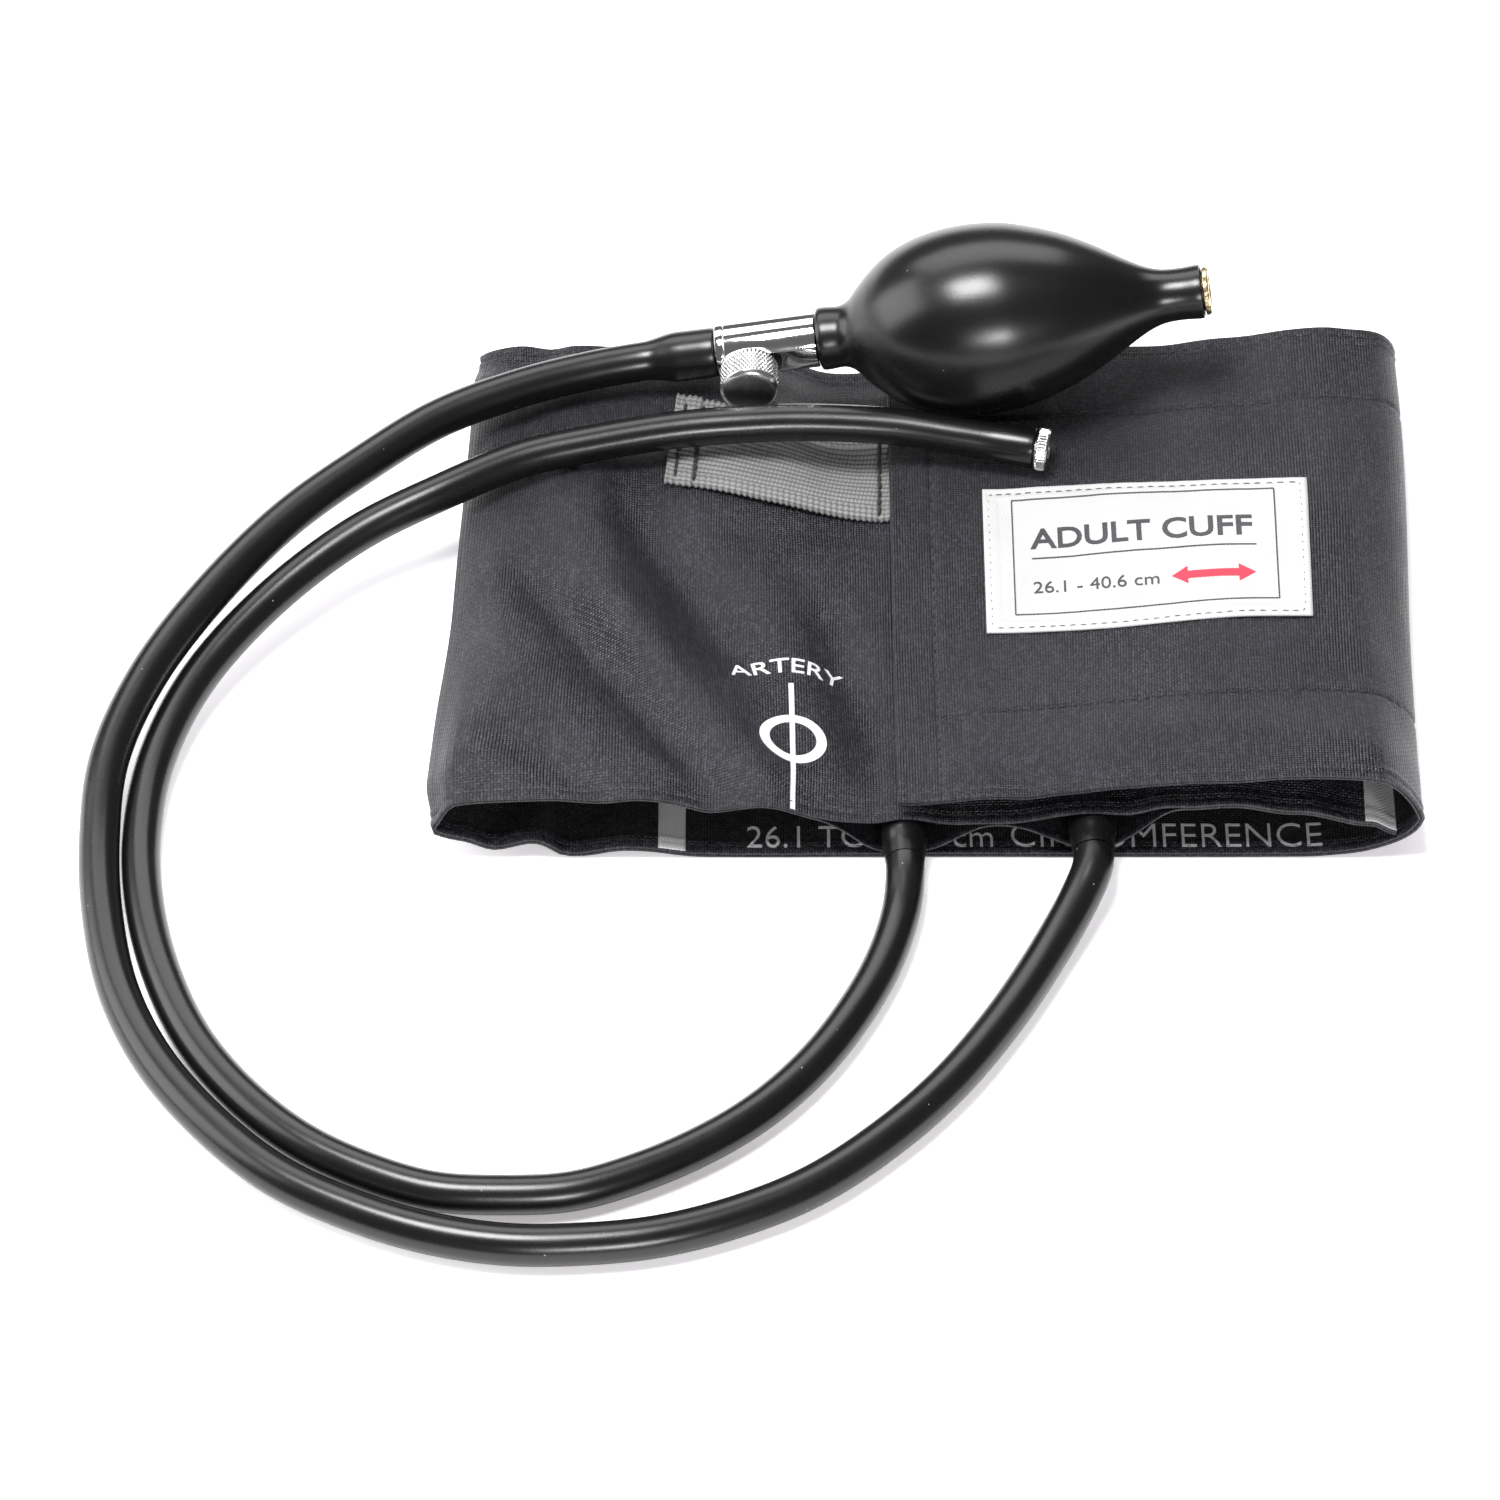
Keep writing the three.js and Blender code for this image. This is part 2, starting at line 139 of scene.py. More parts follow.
def spread(tree, value, low, high, to_low=0.0, to_high=1.0):
    """A value's range low..high stretched to another one, and held at its ends."""
    inputs = {0: value, 1: low, 2: high, 3: to_low, 4: to_high}
    return node(tree, "MapRange", inputs, clamp=True).outputs[0]


def noise_of(tree, place, scale, detail=2.0, roughness=0.5):
    inputs = {"Vector": place, "Scale": scale, "Detail": detail, "Roughness": roughness}
    return node(tree, "TexNoise", inputs).outputs[0]


def object_place(tree):
    return node(tree, "TexCoord").outputs["Object"]


def cloth_place(tree):
    """Millimetres along and across the cloth, which every cloth mesh carries."""
    return node(tree, "Attribute", attribute_name="cloth").outputs["Vector"]


def new_material(name):
    material = bpy.data.materials.new(name)
    material.use_nodes = True
    tree = material.node_tree
    tree.nodes.clear()
    return material, tree


def finish(tree, bump=None, **inputs):
    """The Principled shader and the output. Bump is a list of (height socket, depth in metres)."""
    shader = node(tree, "BsdfPrincipled")
    for key, value in inputs.items():
        socket = shader.inputs[key.replace("_", " ")]
        if isinstance(value, bpy.types.NodeSocket):
            tree.links.new(value, socket)
        else:
            socket.default_value = value
    normal = None
    for height, depth in bump or []:
        raised = {"Height": height, "Distance": depth, "Strength": 1.0}
        if normal:
            raised["Normal"] = normal
        normal = node(tree, "Bump", raised).outputs[0]
    if normal:
        tree.links.new(normal, shader.inputs["Normal"])
    output = node(tree, "OutputMaterial")
    tree.links.new(shader.outputs[0], output.inputs[0])


def grey(level, warmth=0.0):
    return (level * (1 + warmth), level, level * (1 - warmth), 1)


def plain_weave(tree, place, pitch):
    """Height 0..1 of a one-over-one-under weave, and a tone that differs from thread to thread."""
    axes = node(tree, "SeparateXYZ", {0: place})
    across = [maths(tree, "DIVIDE", axes.outputs[i], pitch) for i in (0, 1)]
    cells = [maths(tree, "FLOOR", value) for value in across]
    parts = [maths(tree, "SUBTRACT", maths(tree, "FRACT", value), 0.5) for value in across]
    over = maths(tree, "PINGPONG", maths(tree, "ADD", *cells), 1)
    squares = [times(tree, part, part) for part in parts]

    def strand(width_square, length_square):
        body = maths(tree, "SUBTRACT", 1, times(tree, width_square, 4))
        crimp = maths(tree, "SUBTRACT", 1, times(tree, length_square, 2.4))
        return times(tree, body, crimp)

    warp = strand(squares[1], squares[0])
    weft = strand(squares[0], squares[1])
    height = between(tree, over, weft, warp)
    tones = [
        node(tree, "TexWhiteNoise", {"W": cell}, noise_dimensions="1D").outputs[0] for cell in cells
    ]
    return height, between(tree, over, *tones)


# ---- fabric materials ----
WEAVE_PITCH = 0.62
FLOAT_PITCH, FLOAT_ROWS = 0.93, 1.36


def nylon(name, dark, light, roughness, sheen):
    """Woven nylon: painted gap shade, painted glints on single crossings, and slow patches from handling.
    """
    material, tree = new_material(name)
    place = cloth_place(tree)
    height, tone = plain_weave(tree, place, WEAVE_PITCH)
    patches = noise_of(tree, place, 0.045, 3)
    lint = spread(tree, noise_of(tree, place, 1.7, 2, 0.7), 0.70, 0.78)
    # painted shade: the colour is darkened in the gaps between the threads
    painted_gap_shade = spread(tree, height, 0.15, 0.95)
    share = times(tree, painted_gap_shade, spread(tree, tone, 0, 1, 0.55, 1.0))
    mottle = noise_of(tree, place, 0.9, 2, 0.6)
    share = times(tree, share, spread(tree, mottle, 0.3, 0.7, 0.3, 1.35))
    # painted glints: single thread crossings are made brighter at random
    cell = vectors(tree, "FLOOR", vectors(tree, "MULTIPLY", place, (1 / WEAVE_PITCH,) * 3))
    crossing = vectors(tree, "MULTIPLY", cell, (1, 1, 0))
    painted_glint = maths(tree, "POWER", node(tree, "TexWhiteNoise", {"Vector": crossing}).outputs[0], 3)
    share = times(tree, share, spread(tree, painted_glint, 0, 1, 0.3, 3.0))
    share = times(tree, share, spread(tree, patches, 0.3, 0.7, 0.8, 1.1))
    colour = mixed(tree, share, dark, light)
    colour = mixed(tree, times(tree, lint, 0.22), colour, grey(0.2))
    dull = spread(tree, patches, 0.3, 0.7, roughness - 0.05, roughness + 0.07)
    rough = maths(tree, "ADD", dull, times(tree, tone, 0.06))
    slow = noise_of(tree, place, 0.35, 2)
    finish(
        tree,
        [(slow, 0.00025), (mottle, 0.00015), (height, 0.00018)],
        Base_Color=colour,
        Roughness=rough,
        Sheen_Weight=sheen,
        Sheen_Roughness=0.4,
        Sheen_Tint=(0.9, 0.87, 1.0, 1),
        Specular_IOR_Level=0.5,
    )
    return material


def pile(name):
    """Hook and loop: short dense pile that catches a little light at its tips."""
    material, tree = new_material(name)
    place = cloth_place(tree)
    hairs = node(tree, "TexVoronoi", {"Vector": place, "Scale": 2.2, "Randomness": 0.9}).outputs[0]
    clumps = noise_of(tree, place, 0.5, 4)
    colour = mixed(tree, times(tree, hairs, clumps), grey(0.008), grey(0.035))
    finish(tree, [(hairs, 0.0003)], Base_Color=colour, Roughness=0.9, Sheen_Weight=0.3)
    return material


def satin(name, dark, light, roughness):
    """Woven satin: fine slanting ribs over a smooth, slightly glossy ground."""
    material, tree = new_material(name)
    place = cloth_place(tree)
    wave = {"Vector": place, "Scale": 0.72, "Distortion": 0.35, "Detail": 1.0}
    ribs = node(tree, "TexWave", wave, bands_direction="DIAGONAL").outputs[1]
    height, tone = plain_weave(tree, place, 0.3)
    soil = spread(tree, noise_of(tree, place, 0.06, 3), 0.35, 0.7)
    colour = mixed(tree, times(tree, ribs, 0.5), light, dark)
    colour = mixed(tree, times(tree, tone, 0.12), colour, dark)
    colour = mixed(tree, times(tree, soil, 0.3), colour, dark)
    raised = [(ribs, 0.00006), (height, 0.00003)]
    finish(tree, raised, Base_Color=colour, Roughness=roughness, Sheen_Weight=0.15)
    return material


def webbing(name):
    """Grey strap: yarn with painted shade deep between the floats, and fine fibres."""
    material, tree = new_material(name)
    place = cloth_place(tree)
    axes = node(tree, "SeparateXYZ", {0: place})
    rows = maths(tree, "DIVIDE", axes.outputs[1], FLOAT_ROWS)
    deep = maths(tree, "PINGPONG", rows, 0.5)
    # painted shade: the yarn's colour darkens deep between the rows of floats
    valley = spread(tree, deep, 0.04, 0.26)
    stretched = node(tree, "Mapping", {"Vector": place, "Scale": (9, 1.6, 1)}).outputs[0]
    fibres = noise_of(tree, stretched, 1.0, 3, 0.7)
    soil = spread(tree, noise_of(tree, place, 0.12, 3), 0.35, 0.7)
    colour = mixed(tree, valley, grey(0.022), grey(0.23, 0.01))
    colour = mixed(tree, times(tree, fibres, 0.5), colour, grey(0.3, 0.01))
    colour = mixed(tree, times(tree, soil, 0.2), colour, grey(0.1, 0.02))
    sheen = {"Sheen_Weight": 0.15, "Sheen_Roughness": 0.5}
    finish(tree, [(fibres, 0.00012)], Base_Color=colour, Roughness=0.5, **sheen)
    return material


def thread(name, level):
    """Twisted sewing thread."""
    material, tree = new_material(name)
    place = object_place(tree)
    wave = {"Vector": place, "Scale": 900.0}
    twist = node(tree, "TexWave", wave, bands_direction="DIAGONAL").outputs[1]
    colour = mixed(tree, twist, grey(level * 0.6), grey(level * 1.5))
    finish(tree, [(twist, 0.00005)], Base_Color=colour, Roughness=0.6, Sheen_Weight=0.2)
    return material


def ink(name, colour, worn):
    """Screen-printed ink that sits in the weave and has thinned on the raised threads."""
    material, tree = new_material(name)
    place = object_place(tree)
    threads = noise_of(tree, place, 2600, 2, 0.6)
    thin = spread(tree, threads, 0.56, 0.66)
    shade = tuple(c * worn for c in colour[:3]) + (1,)
    mixed_colour = mixed(tree, times(tree, thin, 0.7), colour, shade)
    finish(tree, [(threads, 0.00005)], Base_Color=mixed_colour, Roughness=0.55)
    return material


# ---- rubber and metal materials ----
def rubber(name, level, roughness, dust):
    """Moulded rubber: satin skin with faint swirls, rubbed patches and a few specks of dust."""
    material, tree = new_material(name)
    place = object_place(tree)
    swirls = noise_of(tree, place, 60, 4, 0.6)
    skin = noise_of(tree, place, 1400, 2, 0.5)
    cells = node(tree, "TexVoronoi", {"Vector": place, "Scale": 260.0, "Randomness": 1.0})
    specks = maths(tree, "LESS_THAN", cells.outputs[0], 0.045)
    chosen = maths(tree, "GREATER_THAN", noise_of(tree, cells.outputs["Position"], 4000, 0), 0.62)
    dots = times(tree, times(tree, specks, chosen), dust)
    colour = mixed(tree, swirls, grey(level * 0.75), grey(level * 1.3, 0.02))
    colour = mixed(tree, dots, colour, grey(0.3))
    rough = spread(tree, swirls, 0.3, 0.7, roughness - 0.02, roughness + 0.03)
    rough = maths(tree, "ADD", rough, times(tree, dots, 0.3))
    raised = [(swirls, 0.00003), (skin, 0.000008)]
    finish(tree, raised, Base_Color=colour, Roughness=rough, Specular_IOR_Level=0.5)
    return material


def metal(name, dark, light, roughness, marks):
    """Plated or turned metal: turning lines too fine to see one by one, and a few handling smears."""
    material, tree = new_material(name)
    place = object_place(tree)
    smears = noise_of(tree, place, 90, 4, 0.6)
    grain = noise_of(tree, place, 2500, 2, 0.6)
    colour = mixed(tree, spread(tree, smears, 0.35, 0.7), light, dark)
    rough = spread(tree, smears, 0.35, 0.75, roughness, roughness + marks)
    finish(tree, [(grain, 0.000004)], Base_Color=colour, Metallic=1.0, Roughness=rough)
    return material


def floor_paper():
    """White sweep: matt paper, a little cool in its tone."""
    material, tree = new_material("floor_paper")
    fibres = noise_of(tree, object_place(tree), 500, 3)
    colour = mixed(tree, fibres, (0.93, 0.925, 0.94, 1), (0.95, 0.945, 0.955, 1))
    finish(
        tree,
        Base_Color=colour,
        Roughness=0.9,
        Specular_IOR_Level=0.1,
        Emission_Color=(1.0, 0.97, 0.99, 1),
        Emission_Strength=0.4,
    )
    return material


CHARCOAL = nylon("charcoal_nylon", (0.001, 0.001, 0.0012, 1), (0.0385, 0.0362, 0.0515, 1), 0.36, 0.012)
BLACK_NYLON = nylon("black_nylon", grey(0.001), grey(0.016), 0.5, 0.03)
PILE = pile("hook_pile")
WHITE_SATIN = satin("white_satin", (0.34, 0.33, 0.335, 1), (0.62, 0.61, 0.61, 1), 0.5)
SILVER_SATIN = satin("silver_satin", grey(0.36), grey(0.7), 0.35)
WEBBING = webbing("grey_webbing")
DARK_THREAD = thread("dark_thread", 0.006)
GREY_THREAD = thread("grey_thread", 0.05)
WHITE_INK = ink("white_ink", (0.66, 0.66, 0.67, 1), 0.6)
GREY_INK = ink("grey_ink", (0.62, 0.62, 0.64, 1), 0.6)
DARK_INK = ink("dark_ink", (0.03, 0.03, 0.035, 1), 2.5)
RED_INK = ink("red_ink", (0.62, 0.02, 0.05, 1), 1.3)
HOSE_RUBBER = rubber("hose_rubber", 0.0045, 0.27, 0.8)
BULB_RUBBER = rubber("bulb_rubber", 0.0035, 0.27, 0.5)
BLADDER_RUBBER = rubber("bladder_rubber", 0.02, 0.6, 0.2)
CHROME = metal("chrome_plate", grey(0.72), grey(0.86), 0.05, 0.1)
NICKEL = metal("nickel_plate", grey(0.6, 0.02), grey(0.8, 0.01), 0.18, 0.12)
BRASS = metal("turned_brass", (0.55, 0.43, 0.24, 1), (0.82, 0.7, 0.46, 1), 0.22, 0.15)


# ---- shape helpers ----
JOIN_WITHIN = 0.004


def smooth(t):
    s = np.clip(t, 0, 1)
    return s * s * (3 - 2 * s)


def eased(x, pairs):
    """Values between listed (place, value) pairs, level at each of them."""
    places, values = np.array(pairs, float).T
    i = np.clip(np.searchsorted(places, x) - 1, 0, len(places) - 2)
    t = smooth((x - places[i]) / (places[i + 1] - places[i]))
    return values[i] + (values[i + 1] - values[i]) * t


def even(start, end, step):
    """Places from start to end, no more than a step apart."""
    return np.linspace(start, end, max(2, math.ceil(abs(end - start) / step) + 1))


def ring_angles(sides):
    return np.linspace(0, 2 * math.pi, sides, endpoint=False)


def unit(vectors):
    return vectors / np.linalg.norm(vectors, axis=-1, keepdims=True)


def distance_along(line):
    """How far each point of a line is from its start, measured along it."""
    return np.concatenate([[0], np.cumsum(np.linalg.norm(np.diff(line, axis=0), axis=1))])


def on_line(at, along, line):
    """The line's points at the given distances along it."""
    return np.stack([np.interp(at, along, axis) for axis in line.T], axis=-1)


def wander(u, v, cell, seed):
    """Smooth random heights, about -1 to 1, over a plane in cells of that size."""
    table = np.random.default_rng(seed).uniform(-1, 1, (64, 64))
    u, v = np.broadcast_arrays(np.asarray(u) / cell, np.asarray(v) / cell)
    i, j = np.floor(u).astype(int), np.floor(v).astype(int)
    s, t = smooth(u - i), smooth(v - j)
    corner = [[table[(i + a) % 64, (j + b) % 64] for b in (0, 1)] for a in (0, 1)]
    near = corner[0][0] * (1 - t) + corner[0][1] * t
    far = corner[1][0] * (1 - t) + corner[1][1] * t
    return near * (1 - s) + far * s


def centripetal(points, step):
    """Points a step apart on a centripetal Catmull-Rom curve through the given ones."""
    p = np.array(points, float)
    p = np.vstack([2 * p[0] - p[1], p, 2 * p[-1] - p[-2]])
    t = np.linspace(0, 1, 24, endpoint=False)[:, None]
    runs = []
    for a, b, c, d in zip(p, p[1:], p[2:], p[3:]):
        ab, bc, cd = (math.sqrt(np.linalg.norm(v - u)) for u, v in ((a, b), (b, c), (c, d)))
        out = ((b - a) / ab - (c - a) / (ab + bc) + (c - b) / bc) * bc
        into = ((c - b) / bc - (d - b) / (bc + cd) + (d - c) / cd) * bc
        run = (2 * t**3 - 3 * t**2 + 1) * b + (t**3 - 2 * t**2 + t) * out
        runs.append(run + (3 * t**2 - 2 * t**3) * c + (t**3 - t**2) * into)
    line = np.vstack([*runs, p[-2:-1]])
    along = distance_along(line)
    at = np.linspace(0, along[-1], math.ceil(along[-1] / step) + 1)
    return on_line(at, along, line)


def new_piece(name, points, faces, material, body="cuff", cloth=None, sharp=None):
    """A shaded mesh piece that rides on a body. Points are in millimetres."""
    mesh = bpy.data.meshes.new(name)
    mesh.from_pydata((np.asarray(points, float) * MM).tolist(), [], faces)
    mesh.polygons.foreach_set("use_smooth", [True] * len(mesh.polygons))
    if cloth is not None:
        attribute = mesh.attributes.new("cloth", "FLOAT_VECTOR", "POINT")
        attribute.data.foreach_set("vector", np.asarray(cloth, np.float32).ravel())
    if sharp:
        mesh.set_sharp_from_angle(angle=math.radians(sharp))
    mesh.materials.append(material)
    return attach(link(name, mesh), body)


def made_of(obj, slot, *nodes):
    """Hides the CAD nodes that the piece stands for; the slot is not used."""
    if nodes:
        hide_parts(*nodes)
    return obj


def tidy_mesh(obj, least=0.0):
    """Faces turned outwards. Points nearer than least are joined, so that no face is left without area."""
    bm = bmesh.new()
    bm.from_mesh(obj.data)
    if least:
        bmesh.ops.remove_doubles(bm, verts=bm.verts, dist=least * MM)
        bmesh.ops.dissolve_degenerate(bm, edges=bm.edges, dist=least * MM / 4)
    bmesh.ops.recalc_face_normals(bm, faces=bm.faces)
    bm.to_mesh(obj.data)
    bm.free()


def crease(obj, sharp):
    """Joins points that touch, and keeps edges over that angle sharp."""
    tidy_mesh(obj, JOIN_WITHIN)
    obj.data.set_sharp_from_angle(angle=math.radians(sharp))
    return obj


def loop_faces(rows, columns, closed_rows=False):
    """Quads between neighbouring rings of points, each ring closed on itself."""
    i = np.arange(rows if closed_rows else rows - 1)[:, None] * columns
    after = np.roll(np.arange(rows), -1)[: len(i)][:, None] * columns
    j = np.arange(columns)[None, :]
    k = (j + 1) % columns
    return np.stack([i + j, i + k, after + k, after + j], axis=-1).reshape(-1, 4).tolist()


def end_caps(rings, sides):
    """Faces over the first and the last ring of a tube."""
    last = (rings - 1) * sides
    return [list(range(sides))[::-1], [last + k for k in range(sides)]]


def tube(centres, radii, side, up, sides):
    """Points and faces of a tube with closed ends, from its centres and the two directions across it."""
    angles = ring_angles(sides)[None, :, None]
    ring = np.cos(angles) * side[:, None] + np.sin(angles) * up[:, None]
    points = centres[:, None] + np.reshape(radii, (-1, 1, 1)) * ring
    return points.reshape(-1, 3), loop_faces(len(centres), sides) + end_caps(len(centres), sides)


def fillet(profile, radius, steps=4):
    """A closed outline with its corners rounded, apart from those on the axis."""
    out = []
    count = len(profile)
    for i, point in enumerate(profile):
        p, a, b = (np.array(profile[k % count], float) for k in (i, i - 1, i + 1))
        to_a, to_b = np.linalg.norm(a - p), np.linalg.norm(b - p)
        r = min(radius, 0.45 * to_a, 0.45 * to_b)
        if point[1] <= 0 or r < 0.02:
            out.append(p)
            continue
        start, end = p + (a - p) * r / to_a, p + (b - p) * r / to_b
        for t in np.linspace(0, 1, steps):
            out.append((1 - t) ** 2 * start + 2 * t * (1 - t) * p + t**2 * end)
    return np.array(out)


def turned(name, profile, place, material, body="cuff", sides=64, relief=None, sharp=40):
    """A turned piece. The profile is a closed loop of (distance along the axis, radius)."""
    profile = np.asarray(profile, float)
    angles = ring_angles(sides)
    along, radius = profile[:, :1], profile[:, 1:]
    if relief:
        radius = radius + relief(along, radius, angles[None, :])
    shape = np.broadcast_arrays(along, radius * np.cos(angles), radius * np.sin(angles))
    points = place(np.stack(shape, axis=-1).reshape(-1, 3))
    faces = loop_faces(len(profile), sides, closed_rows=True)
    return crease(new_piece(name, points, faces, material, body), sharp)


# ---- cords: routes given point by point ----
GAUGE_ROUTE = [
    (-5, -79.6, 7), (-5, -83, 6.8), (-6, -92, 5.3), (-10, -106, 4.6), (-17, -121, 4.5),
    (-26, -135, 4.5), (-37, -147, 4.5), (-49, -156, 4.5), (-62, -163, 4.5), (-76, -168, 4.5),
    (-90, -169, 4.5), (-105, -168, 4.5), (-119, -163, 4.5), (-133, -155, 4.5), (-146, -143, 4.5),
    (-157, -128, 4.5), (-165, -110, 4.5), (-170, -91, 4.6), (-172, -71, 4.9), (-170, -49, 6),
    (-162, -27, 8.2), (-147, -7, 12.2), (-128, 9, 16.8), (-109, 19, 20.2), (-91, 28, 21.6),
    (-73, 33, 22.2), (-55, 36.6, 22.6), (-41, 38, 22.8), (-27, 38.8, 22.7), (-6, 38.1, 22.1),
    (9, 35.8, 21.3), (18, 34.3, 20.8), (26.2, 32.6, 20.6),
]
BULB_ROUTE = [
    (36, -78.6, 8.8), (35.8, -82, 8.5), (33, -89, 6.9), (27, -101, 5.2), (16, -121, 4.7),
    (3, -140, 4.7), (-11, -155, 4.7), (-26, -167, 4.7), (-42, -175, 4.7), (-58, -180, 4.7),
    (-74, -182, 4.7), (-90, -182, 4.7), (-106, -179, 4.7), (-122, -173, 4.7), (-138, -164, 4.7),
    (-152, -151, 4.7), (-165, -134, 4.7), (-174, -115, 4.8), (-179, -94, 5.4), (-181, -73, 6.8),
    (-180, -52, 9.6), (-173, -31, 12.8), (-161, -10, 15.6), (-144, 12, 18.4), (-127, 27.5, 20.4),
    (-110, 41, 21.7), (-92, 50, 22.3), (-75, 56, 22.3), (-61, 59, 22.7), (-46.4, 59, 25.22),
]
HOSE_STEP = 1.6
HOSE_SIDES = 40
HOSE_LIP = 0.5
HOSE_BORE, HOSE_BORE_DEPTH = 0.62, 3.0


def add_hose(name, node_name, route, radius, flare, flare_length):
    """A rubber tube along its route, wider over the barb, with an open lip at its far end."""
    line = centripetal(route, HOSE_STEP)
    along = distance_along(line)
    length, bore, end = along[-1], radius * HOSE_BORE, radius + flare * 0.92
    places = [(s, radius + flare * smooth((s - length + flare_length) / 8)) for s in along[:-1]]
    for angle in np.linspace(0, math.pi / 2, 5):
        reach, rise = HOSE_LIP * math.sin(angle), HOSE_LIP * math.cos(angle)
        places.append((length - HOSE_LIP + reach, end - HOSE_LIP + rise))
    places += [(length, bore + 0.3), (length - 0.3, bore), (length - HOSE_BORE_DEPTH, bore)]
    at, radii = np.array(places).T
    tangents = unit(on_line(at, along, np.gradient(line, axis=0)))
    side = unit(np.cross(tangents, [0, 0, 1]))
    up = np.cross(side, tangents)
    points, faces = tube(on_line(at, along, line), radii, side, up, HOSE_SIDES)
    obj = crease(new_piece(name, points, faces, HOSE_RUBBER), 45)
    return made_of(obj, "black_rubber", node_name), line * MM


add_camera()
gauge_hose, gauge_line = add_hose("gauge_tube", "gauge_hose", GAUGE_ROUTE, GAUGE_HOSE_RADIUS, 0.35, 12)
bulb_hose, bulb_line = add_hose("bulb_tube", "bulb_hose", BULB_ROUTE, BULB_HOSE_RADIUS, 1.25, 17)


# ---- the wrap ----
# Every sheet follows one spiral, the face on the arm side, from the index end to the flap's end.
ARM_FACE = [
    (102, 7), (60, 6.9), (20, 6.8), (-8, 7.3), (-30, 10.2), (-55, 13.4), (-80, 14.3), (-95, 13.2),
    (-102.4, 10.9), (-104.3, 9.2), (-102, 7.6), (-94, 5.4), (-84, 3.6), (-76, 2.8), (-62, 2.8),
    (-50, 1.3), (0, 1.3), (76, 1.3), (86, 1.6), (96, 3.4), (103.6, 7.2), (106.2, 12), (103.4, 17),
    (96, 20.3), (86, 21.3), (70, 20.5), (56, 18.4), (42, 15.6), (30, 13.4), (15, 11.8), (0, 12), (-7, 12.3),
]
GUIDE_STEP = 0.5
GUIDE = centripetal(ARM_FACE, GUIDE_STEP)
WRAP_LENGTH = float(np.linalg.norm(np.diff(GUIDE, axis=0), axis=1).sum())
STATIONS = np.linspace(0, WRAP_LENGTH, len(GUIDE))
TANGENT = np.gradient(GUIDE, axis=0)
TANGENT /= np.linalg.norm(TANGENT, axis=1)[:, None]


def station_near(x, z):
    """The station where the spiral passes nearest to a place."""
    return float(STATIONS[np.linalg.norm(GUIDE - (x, z), axis=1).argmin()])


LEFT_TURN = station_near(-104.3, 9.2)
RIGHT_TURN = station_near(106.2, 12)
BLADDER_END = station_near(-62, 2.8)

# How far the sheets stand off that spiral at the edges of its three runs, as (x, height).
TOP_FRONT = [
    (-104.3, 0), (-98, 5.0), (-80, 3.9), (-60, 3.4), (-35, 4.1), (-17, 2.4), (-5, 0.2), (15, 3.6),
    (36, 4.4), (54, 8.8), (66, 9.6), (80, 7.4), (96, 3.6), (102, 0.4),
]
TOP_BACK = [
    (-104.3, 0), (-84, -1.2), (-62, -2.4), (-45, -0.6), (-34, -1.5), (-20, -4.8), (0, -1.5), (30, 0),
    (102, 0),
]
LOW_FRONT = [
    (-104.3, 0), (-98, 0), (-92, 1.4), (-84, -1.8), (-77, 1.5), (-66, -0.4), (-50, 0), (84, 0), (106.2, 0),
]
FLAP_FRONT = [(-7, 5.0), (15, 8.0), (37, 7.4), (56, 6.0), (72, 4.8), (96, 4.8), (106.2, 0.4)]
FLAP_BACK = [(-7, -2.2), (10, -1.0), (30, -1.2), (54, -5), (72, -5), (94, -2.2), (106.2, 0)]

# Soft folds, as (start, end, half width, height) on the plan.
TOP_FOLDS = [
    ((-62, 14), (-44, -20), 8, -4.6),
    ((-78, 22), (-64, -18), 9, 2.8),
    ((-86, -6), (-48, -68), 5.5, -3.4),
    ((-94, -22), (-64, -72), 7, 1.3),
    ((-70, -14), (-38, -64), 7, 2.8),
    ((-20, -16), (-8, -68), 5.5, -2.8),
    ((-34, -10), (-22, -60), 7, 1.2),
    ((-98, -58), (-80, -71), 3.5, 0.8),
    ((-90, -55), (-70, -71), 3, -0.8),
    ((-62, -58), (-46, -71), 3.5, 0.8),
    ((-30, 52), (-8, 44), 4, 1.8),
    ((-38, 14), (-10, 18), 6, -1.4),
    ((-92, 40), (-70, 10), 9, -0.9),
    ((-100, 62), (-88, 72), 3.5, -1.3),
]
FLAP_FOLDS = [
    ((6, -48), (22, -70), 4.5, -1.0),
    ((34, -60), (50, -70), 5, 0.6),
    ((60, -54), (90, -62), 6, 0.7),
    ((12, 30), (40, 22), 12, 1.4),
    ((60, 66), (84, 40), 8, -0.8),
    ((88, 10), (100, -30), 8, 0.7),
    ((50, -24), (92, -40), 9, -0.6),
]


# The turned-in hems rise this much over the plain cloth, and their stitches lie this far in.
HEM_RISE, LINING_HEM_RISE = 0.26, 0.25
HEM_STITCH = 2.3
# Air left between the two fabrics where they are sewn together.
SEWN_GAP = 0.12
# A stack of sheets that meets the table is pressed to this share of its height.
PRESSED = 0.25
# Where a neck runs out, the sheets bulge over this half width and clear it by this much.
EYE_HALF_WIDTH, EYE_CLEAR = 20, 0.4
# The hook patch is sewn on along one x and two values of y.
SEAM_X, SEAM_FRONT, SEAM_BACK = 2.6, -45, 50
SEAM_DEPTH = 0.32
PORTS = (GAUGE_PORT, BULB_PORT)


def fold_heights(x, y, folds):
    """The sum of long soft bumps, each with a bell-shaped section and tapering past its two ends."""
    total = np.zeros(np.broadcast(x, y).shape)
    for (x0, y0), (x1, y1), width, height in folds:
        run = (x1 - x0, y1 - y0)
        length = math.hypot(*run)
        along = ((x - x0) * run[0] + (y - y0) * run[1]) / length
        off = ((x - x0) * run[1] - (y - y0) * run[0]) / length
        past = np.maximum(np.maximum(-along, along - length), 0)
        total = total + height * np.exp(-((off / width) ** 2) - (past / (1.6 * width)) ** 2)
    return total


